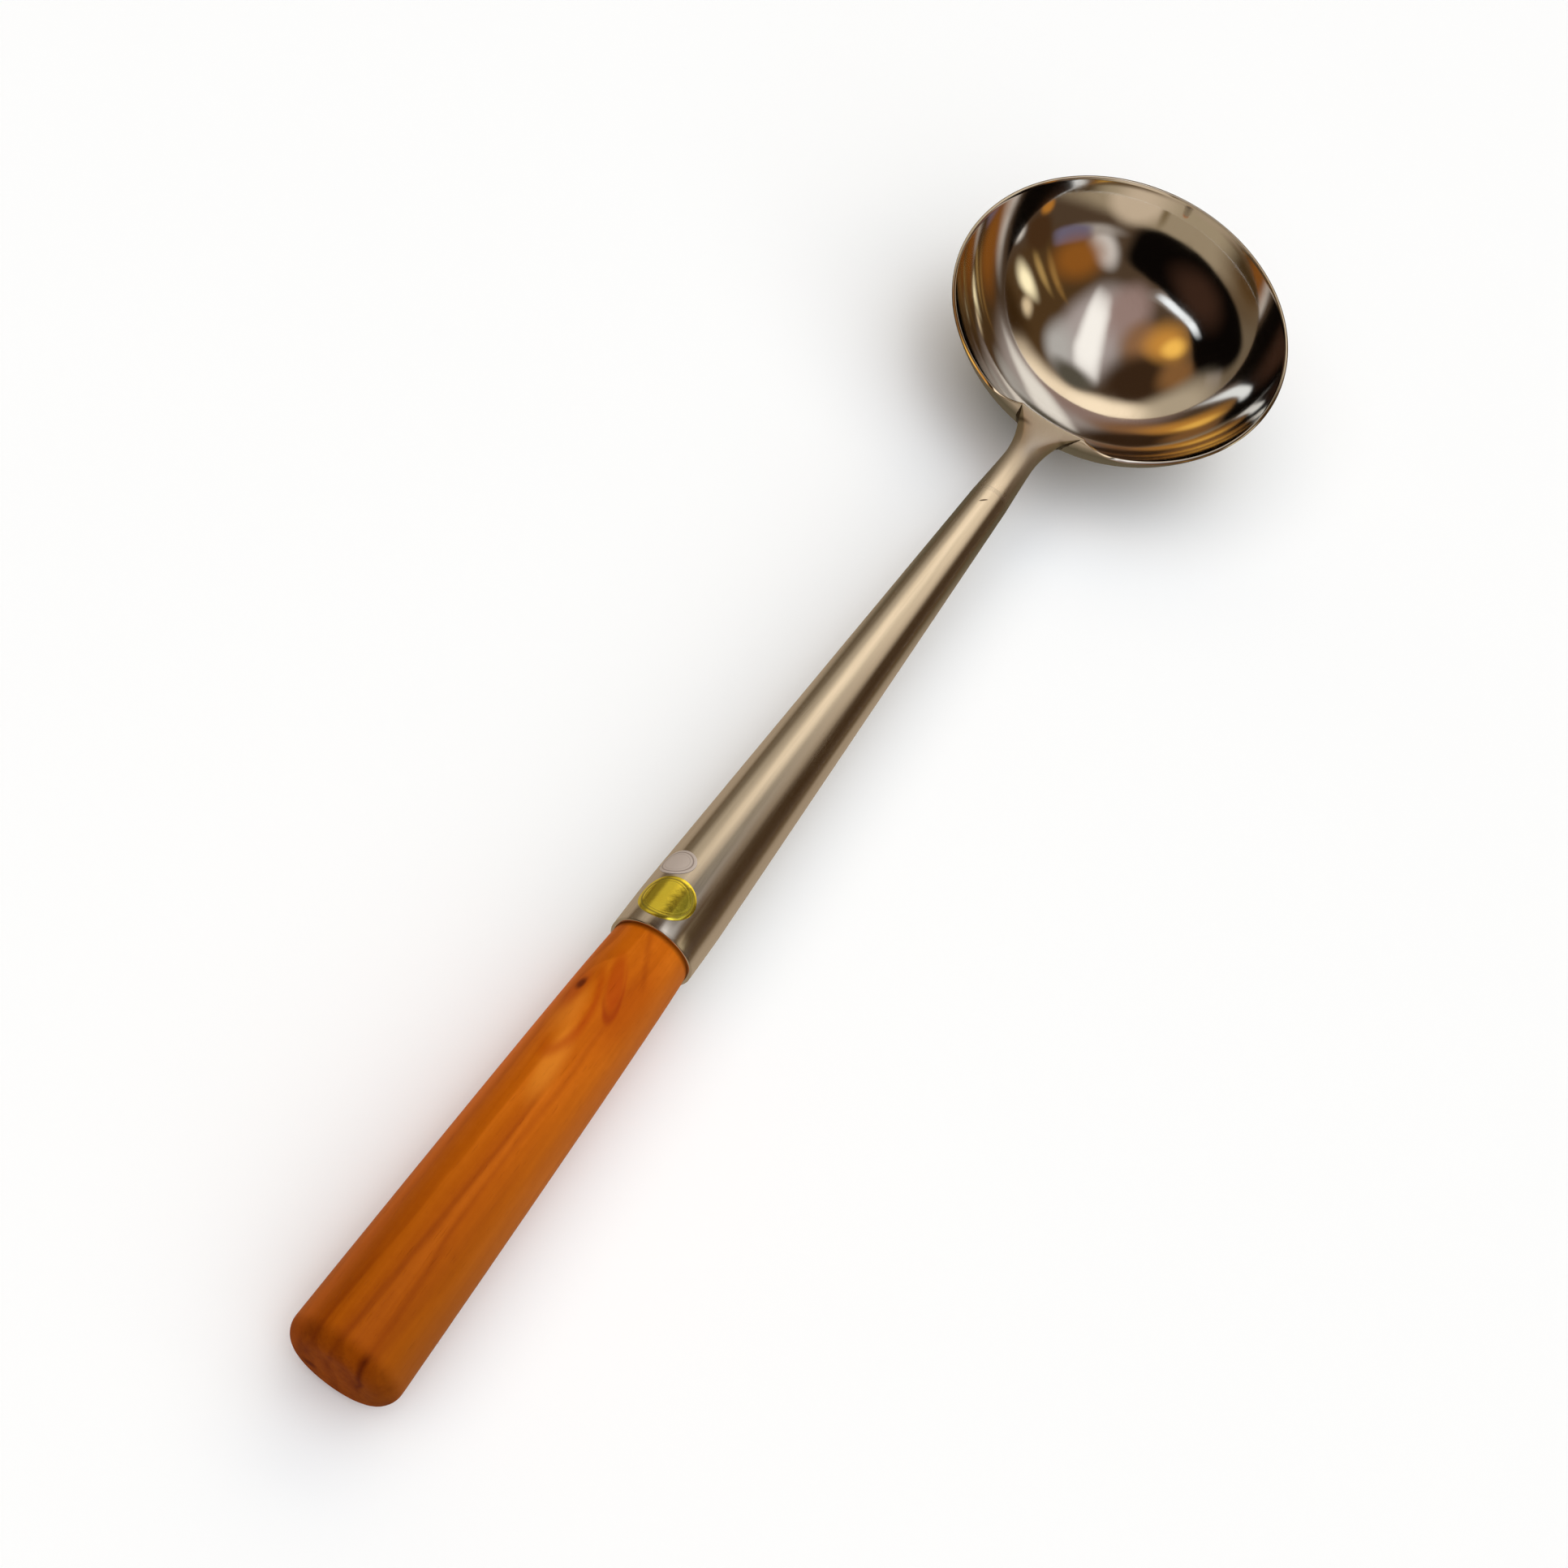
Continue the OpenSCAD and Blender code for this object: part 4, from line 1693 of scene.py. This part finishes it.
@dataclass
class Nail(Piece):
    """Round-headed nail through the shank into the tenon."""

    d: float = 0.002
    length: float = 0.014
    head_d: float = 0.0044
    head_h: float = 0.0008
    rim: float = 0.0001
    tip_d: float = 0.0004
    tip_l: float = 0.0025
    x: float = 0.016
    turn: float = 142
    steps: int = 48

    def shape(self) -> Body:
        """Model the piece and put it in place.

        Returns:
            The piece, still to be dressed.
        """
        lay = self.layout
        seat = lay.shank_d / 2 + lay.gap
        r, head, tip = self.d / 2, self.head_d / 2, seat - self.length
        line = [(0.0, tip), (self.tip_d / 2, tip), (r, tip + self.tip_l), (r, seat),
                (head - self.rim, seat), (head, seat + self.rim)]
        line += arc((0.0, seat + self.rim), head, self.head_h - self.rim, range(80, -1, -10))
        body = Bench.draw("nail_round", [Vector((p, 0.0, z)) for p, z in line])
        Bench.spin(body, (0, 0, 1), self.steps)
        turn = Matrix.Rotation(math.radians(self.turn), 4, "X")
        at = Matrix.Translation((lay.mouth_x - self.x, 0, 0)) @ turn
        Bench.place(body, lay.axis_frame @ at, self.sharp)
        return body


@dataclass
class Label(Piece):
    """Thin oval label that follows the outside of the shank."""

    sharp: float = 50
    w: float = 0.016
    length: float = 0.0134
    x: float = 0.0098
    turn: float = 20
    thick: float = 0.00012
    glue: float = 0.00002
    edge: float = 0.00004
    sides: int = 96
    rings: int = 9

    def shape(self) -> Body:
        """Model the piece and put it in place.

        Returns:
            The piece, still to be dressed.
        """
        lay = self.layout
        body = Bench.start(self.node + "_film", bpy.ops.mesh.primitive_circle_add,
                           vertices=self.sides, radius=1.0, fill_type="NGON")
        with Bench.editing(body, "FACE"):
            for _ in range(self.rings):
                bpy.ops.mesh.inset(thickness=1.0 / (self.rings + 1))
            bpy.ops.mesh.poke()
        layers = body.data.uv_layers
        layer = layers[0] if layers else layers.new(name="UVMap")
        for loop in body.data.loops:
            flat = body.data.vertices[loop.vertex_index].co
            layer.data[loop.index].uv = (flat.x / 2 + 0.5, flat.y / 2 + 0.5)
        middle = lay.mouth_x - self.x
        for vertex in body.data.vertices:
            station = middle + self.length / 2 * vertex.co.x
            r = lay.shank_r(station) + self.glue
            angle = math.radians(self.turn) - self.w / 2 * vertex.co.y / lay.shank_r(middle)
            vertex.co = (station, -r * math.sin(angle), r * math.cos(angle))
        Bench.modify(body, "SOLIDIFY", thickness=self.thick, offset=1.0)
        Bench.modify(body, "BEVEL", width=self.edge, segments=2, limit_method="ANGLE",
                     angle_limit=math.radians(self.sharp))
        Bench.weld(body)
        Bench.place(body, lay.axis_frame, self.sharp)
        return body


# Studio


class Form(Enum):
    """Outline of a card."""

    BLOCK = "block"
    OVAL = "oval"


class Side(Enum):
    """Where a card hangs."""

    ROUND = "round"
    ABOVE = "above"


@dataclass(frozen=True)
class Card:
    """Soft patch of the room that the steel reflects.

    A card round the ladle counts degrees: round from the handle's direction, and above the
    horizon. A card above it counts in heights of the ceiling.
    """

    side: Side
    across: float
    up: float
    half_width: float
    half_height: float
    tone: Colour
    soft: float
    lift: float = 0.0
    form: Form = Form.OVAL

    def cover(self, graph: Graph, ahead: Socket, behind: Socket,
              above: Socket) -> Num:
        """Share of the card in a direction.

        Args:
            graph: Tree to add nodes to.
            ahead: Degrees round from -180 to 180, and above the horizon.
            behind: The same, with the degrees round from 0 to 360.
            above: Place on the ceiling.

        Returns:
            1 inside the card, falling softly to 0 outside.
        """
        way, middle = ahead, self.across
        if self.side is Side.ABOVE:
            way = above
        elif abs(middle) + self.half_width > 180:
            way, middle = behind, middle % 360
        if self.lift:
            a, b, _ = graph.xyz(way)
            way = graph.join(a, b - a * self.lift, 0.0)
        grow = (1 / self.half_width, 1 / self.half_height, 0.0)
        move = (-middle * grow[0], -(self.up - middle * self.lift) * grow[1], 0.0)
        spread = graph.add("ShaderNodeVectorMath", {"operation": "MULTIPLY_ADD"},
                           {0: way, 1: grow, 2: move}).outputs[0]
        if self.form is Form.BLOCK:
            spread = graph.vector("MULTIPLY", spread, spread)
        away = graph.add("ShaderNodeVectorMath", {"operation": "LENGTH"}, {0: spread}).outputs["Value"]
        edge = min(0.95, self.soft / min(self.half_width, self.half_height))
        return 1 - Num(graph, away).step(1 - edge, 1 + edge)


ROUND, ABOVE, BLOCK = Side.ROUND, Side.ABOVE, Form.BLOCK
ROOM: Tuple[Card, ...] = (
    Card(ROUND, 0, 80, 181, 18, (0.25, 0.19, 0.16), 9, 0, BLOCK),
    Card(ROUND, -130, 6, 75, 16, (0.17, 0.125, 0.078), 8, 0, BLOCK),
    Card(ROUND, 105, 42, 62, 24, (0.085, 0.044, 0.016), 8, 0, BLOCK),
    Card(ROUND, 0, -9, 78, 23, (0.37, 0.29, 0.19), 4),
    Card(ROUND, 29, -4, 17, 18, (0.64, 0.51, 0.37), 5),
    Card(ROUND, 11, 0, 2.2, 9, (0.2, 0.14, 0.07), 2),
    Card(ROUND, -56, -4, 22, 14, (0.1, 0.052, 0.018), 9),
    Card(ABOVE, 0.05, 0.17, 0.62, 0.34, (0.46, 0.4, 0.385), 0.16, 0.1),
    Card(ABOVE, 0.55, -0.02, 0.4, 0.26, (0.36, 0.25, 0.225), 0.16),
    Card(ABOVE, -0.4, 0.34, 0.26, 0.2, (0.52, 0.5, 0.48), 0.14, 0.2),
    Card(ABOVE, 0, 0.15, 0.46, 0.14, (1.15, 1.12, 1.08), 0.12, 0.38, BLOCK),
    Card(ABOVE, 0.22, -0.34, 0.26, 0.2, (0.3, 0.15, 0.07), 0.12),
    Card(ABOVE, -0.28, -0.5, 0.4, 0.3, (0.045, 0.022, 0.01), 0.12),
    Card(ROUND, -96, 46, 16, 8, (0.26, 0.12, 0.04), 5),
    Card(ROUND, -62, 55, 19, 11, (0.66, 0.3, 0.055), 8),
    Card(ROUND, -69, 51, 9, 6, (1.1, 0.62, 0.12), 4),
    Card(ROUND, -58, 35, 44, 4.5, (0.33, 0.28, 0.25), 3, 0.24, BLOCK),
    Card(ROUND, -37, 26, 60, 15, (0.003, 0.002, 0.0015), 2.6, 0, BLOCK),
    Card(ROUND, -38, 27, 22, 9, (0.048, 0.022, 0.013), 6),
    Card(ROUND, -40, 41, 22, 2.1, (1.1, 1.16, 1.22), 1.4, 0.17, BLOCK),
    Card(ROUND, 40, 32, 11, 9, (0.74, 0.69, 0.65), 5, -0.4),
    Card(ROUND, 48, 21, 14, 3, (0.42, 0.37, 0.33), 2.5),
    Card(ROUND, 64, 23, 13, 4.6, (0.17, 0.145, 0.21), 3, 0, BLOCK),
    Card(ROUND, 60, 37, 20, 11, (0.3, 0.105, 0.016), 7),
    Card(ROUND, 83, 43, 2.4, 11, (0.34, 0.18, 0.05), 2),
    Card(ROUND, 93, 36, 2.4, 10, (0.46, 0.29, 0.1), 2),
    Card(ROUND, 107, 33, 5, 9, (1.3, 1.14, 0.74), 3.5),
    Card(ROUND, 119, 40, 6, 3.4, (0.8, 0.63, 0.4), 2.5),
    Card(ROUND, 88, 16, 9, 9, (0.07, 0.032, 0.012), 3),
    Card(ROUND, 83, 4, 4, 4, (0.5, 0.2, 0.03), 2),
    Card(ROUND, 103, 10, 5, 3, (0.8, 0.76, 0.7), 2),
    Card(ROUND, -139, 31, 38, 15, (0.5, 0.41, 0.29), 6),
    Card(ROUND, -177, 37, 36, 14, (1.05, 0.86, 0.62), 6.5, 0.05),
    Card(ROUND, -158, 42, 18, 9.5, (1.18, 0.98, 0.72), 6),
    Card(ROUND, 131, 24, 11, 17, (0.045, 0.021, 0.006), 5, 0.2),
    Card(ABOVE, -0.62, 0.06, 0.17, 0.22, (0.1, 0.088, 0.065), 0.09),
)


@dataclass
class Studio:
    """Pale floor, soft lamp, the room seen in the steel, and the camera."""

    layout: Layout
    floor_size: float = 9.0
    floor_z: float = -0.00005
    card_size: float = 4.4
    card_z: float = 0.00002
    bowl_x: float = -0.2
    bowl_end: Point = (-0.12, -0.01)
    left_y: Point = (0.045, 0.13)
    right_y: Point = (0.09, 0.24)
    front_x: Point = (0.05, 0.18)
    pale_way: Place = (0.5, 0.3, 0.25)
    dark_right: Point = (0.4, 1.0)
    dark_left: Point = (0.95, 1.8)
    card_near: Colour = (0.42, 0.325, 0.225)
    card_bowl: Colour = (0.125, 0.100, 0.062)
    card_far: Colour = (0.11, 0.066, 0.03)
    card_front: Colour = (0.40, 0.32, 0.21)
    card_pale: Colour = (0.64, 0.51, 0.37)
    card_dark: Colour = (0.060, 0.034, 0.012)
    base: Colour = (0.085, 0.052, 0.03)
    drift_round: float = 3.0
    drift_up: float = 2.5
    drift_above: float = 0.05
    lowest: float = 0.05
    backdrop: Colour = (0.97, 0.97, 0.96)
    lamp: float = 2.62
    lamp_tone: Colour = (0.835, 0.925, 1.0)
    lamp_tilt: Place = (-14.0, 12.0, 0.0)
    lamp_spread: float = 120.0
    eye: Place = (0.35418, 0.04547, 0.43846)
    turned: Place = (33.7628, -15.7539, 120.1214)
    lens: float = 44.7205

    def floor(self) -> None:
        """Lay the floor under the ladle."""
        body = Bench.start("floor", bpy.ops.mesh.primitive_plane_add, size=self.floor_size,
                           location=(0, 0, self.floor_z))
        body.data.materials.append(PaleFloor("pale floor").material(self.layout))
        body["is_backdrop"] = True

    def table(self) -> None:
        """Lay a brown card on the floor that only the steel's reflections show."""
        body = Bench.start("table_card", bpy.ops.mesh.primitive_circle_add, vertices=96,
                           radius=self.card_size, fill_type="NGON", location=(0, 0, self.card_z))
        made = bpy.data.materials.new("brown card")
        made.use_nodes = True
        graph = Graph(made.node_tree)
        x, y, _ = graph.xyz(graph.add("ShaderNodeTexCoord").outputs["Object"])
        tone = graph.mix(x.step(*self.bowl_end), self.card_bowl, self.card_near)
        side = y.step(*self.left_y).most((0.0 - y).step(*self.right_y))
        tone = graph.mix(side, tone, self.card_far)
        way = y / (x - self.bowl_x).most(0.02)
        front = graph.mix(way.band(*self.pale_way), self.card_front, self.card_pale)
        dark = (0.0 - way).step(*self.dark_right).most(way.step(*self.dark_left))
        front = graph.mix(dark, front, self.card_dark)
        tone = graph.mix(x.step(*self.front_x), tone, front)
        glow = graph.add("ShaderNodeEmission", None, {"Color": tone, "Strength": 1.0})
        graph.feed(graph.find("OUTPUT_MATERIAL"), {"Surface": glow.outputs[0]})
        body.data.materials.append(made)
        for ray in ("camera", "diffuse", "transmission", "volume_scatter", "shadow"):
            setattr(body, "visible_" + ray, False)
        body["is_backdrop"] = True

    def room(self) -> None:
        """Paint the room that surrounds the ladle."""
        world = bpy.data.worlds.new("room")
        bpy.context.scene.world = world
        world.use_nodes = True
        graph = Graph(world.node_tree)
        way = graph.add("ShaderNodeTexCoord").outputs["Generated"]
        x, y, z = graph.xyz(way)
        shake = graph.noise(way, 3.0, 1.5, 0.5) - 0.5
        drift = graph.noise(graph.vector("ADD", way, (3.0, 1.0, 2.0)), 3.0, 1.5, 0.5) - 0.5
        degrees = 180 / math.pi
        azimuth = y.atan2(x) * degrees + shake * self.drift_round
        height = z.asin() * degrees + drift * self.drift_up
        reach = z.most(self.lowest)
        ahead = graph.join(azimuth.wrap(180.0, -180.0), height, 0.0)
        behind = graph.join(azimuth.wrap(360.0, 0.0), height, 0.0)
        above = graph.join(x / reach + shake * self.drift_above, y / reach + drift * self.drift_above, 0.0)
        tone: Source = self.base
        for card in ROOM:
            tone = graph.mix(card.cover(graph, ahead, behind, above), tone, card.tone)
        seen = graph.add("ShaderNodeLightPath").outputs["Is Camera Ray"]
        graph.feed(graph.find("BACKGROUND"),
                   {"Color": graph.mix(Num(graph, seen), tone, self.backdrop), "Strength": 1.0})

    def light(self) -> None:
        """Hang one broad soft lamp overhead."""
        lamp = Bench.start("soft_lamp", bpy.ops.object.light_add, type="SUN", location=(0.2, 0.3, 2.0),
                           rotation=[math.radians(a) for a in self.lamp_tilt])
        lamp.data.energy = self.lamp
        lamp.data.angle = math.radians(self.lamp_spread)
        lamp.data.color = self.lamp_tone
        lamp.visible_glossy = False

    def camera(self) -> None:
        """Stand the camera where the ladle is seen from."""
        body = Bench.start("camera", bpy.ops.object.camera_add, location=self.eye,
                           rotation=[math.radians(a) for a in self.turned])
        body.data.sensor_fit = "HORIZONTAL"
        body.data.sensor_width = 36.0
        body.data.lens = self.lens
        body.data.clip_start = 0.01
        body.data.dof.use_dof = False
        bpy.context.scene.camera = body
        bpy.context.scene.view_settings.view_transform = "Standard"

    def make(self) -> None:
        """Set up the whole studio."""
        self.floor()
        self.table()
        self.room()
        self.light()
        self.camera()
        LOG.info("studio: %d cards", len(ROOM))


@dataclass
class Ladle:
    """The whole ladle, piece by piece."""

    layout: Layout

    def pieces(self) -> Tuple[Piece, ...]:
        """List the pieces in the order they are made.

        Returns:
            The pieces.
        """
        lay = self.layout
        return (
            Bowl(lay, "bowl", "bowl_steel", Dress.BOWL),
            Neck(lay, "neck", "shank_steel", Dress.NECK),
            FootWeld(lay, "bowl_weld", "weld_steel", Dress.FOOT),
            RingWeld(lay, "neck_weld", "weld_steel", Dress.GROUND),
            Shank(lay, "shank", "shank_steel", Dress.SHANK),
            SeamWeld(lay, "seam_weld", "weld_steel", Dress.WELD),
            Handle(lay, "handle", "handle_wood", Dress.WOOD),
            Nail(lay, "nail", "nail_steel", Dress.NAIL),
            Label(lay, "gold_label", "gold_film", Dress.GOLD),
            Label(lay, "white_label", "white_film", Dress.PALE, w=0.011, length=0.0086, x=0.0212, turn=40),
        )

    def make(self) -> None:
        """Make every piece."""
        materials = {dress: dress.value.material(self.layout) for dress in Dress}
        for piece in self.pieces():
            piece.make(materials)


def plain(box: Sequence[Sequence[float]]) -> list:
    """Turn a box into plain lists of numbers."""
    return [[float(v) for v in corner] for corner in box]


def main() -> None:
    """Build the ladle and its studio, and work out its size."""
    logging.basicConfig(level=logging.INFO, format="%(name)s %(message)s")
    layout = Layout()
    Ladle(layout).make()
    Studio(layout).make()
    {"cad": plain(CAD_BOX), "visual": plain(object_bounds())}


if __name__ == "__main__":
    main()
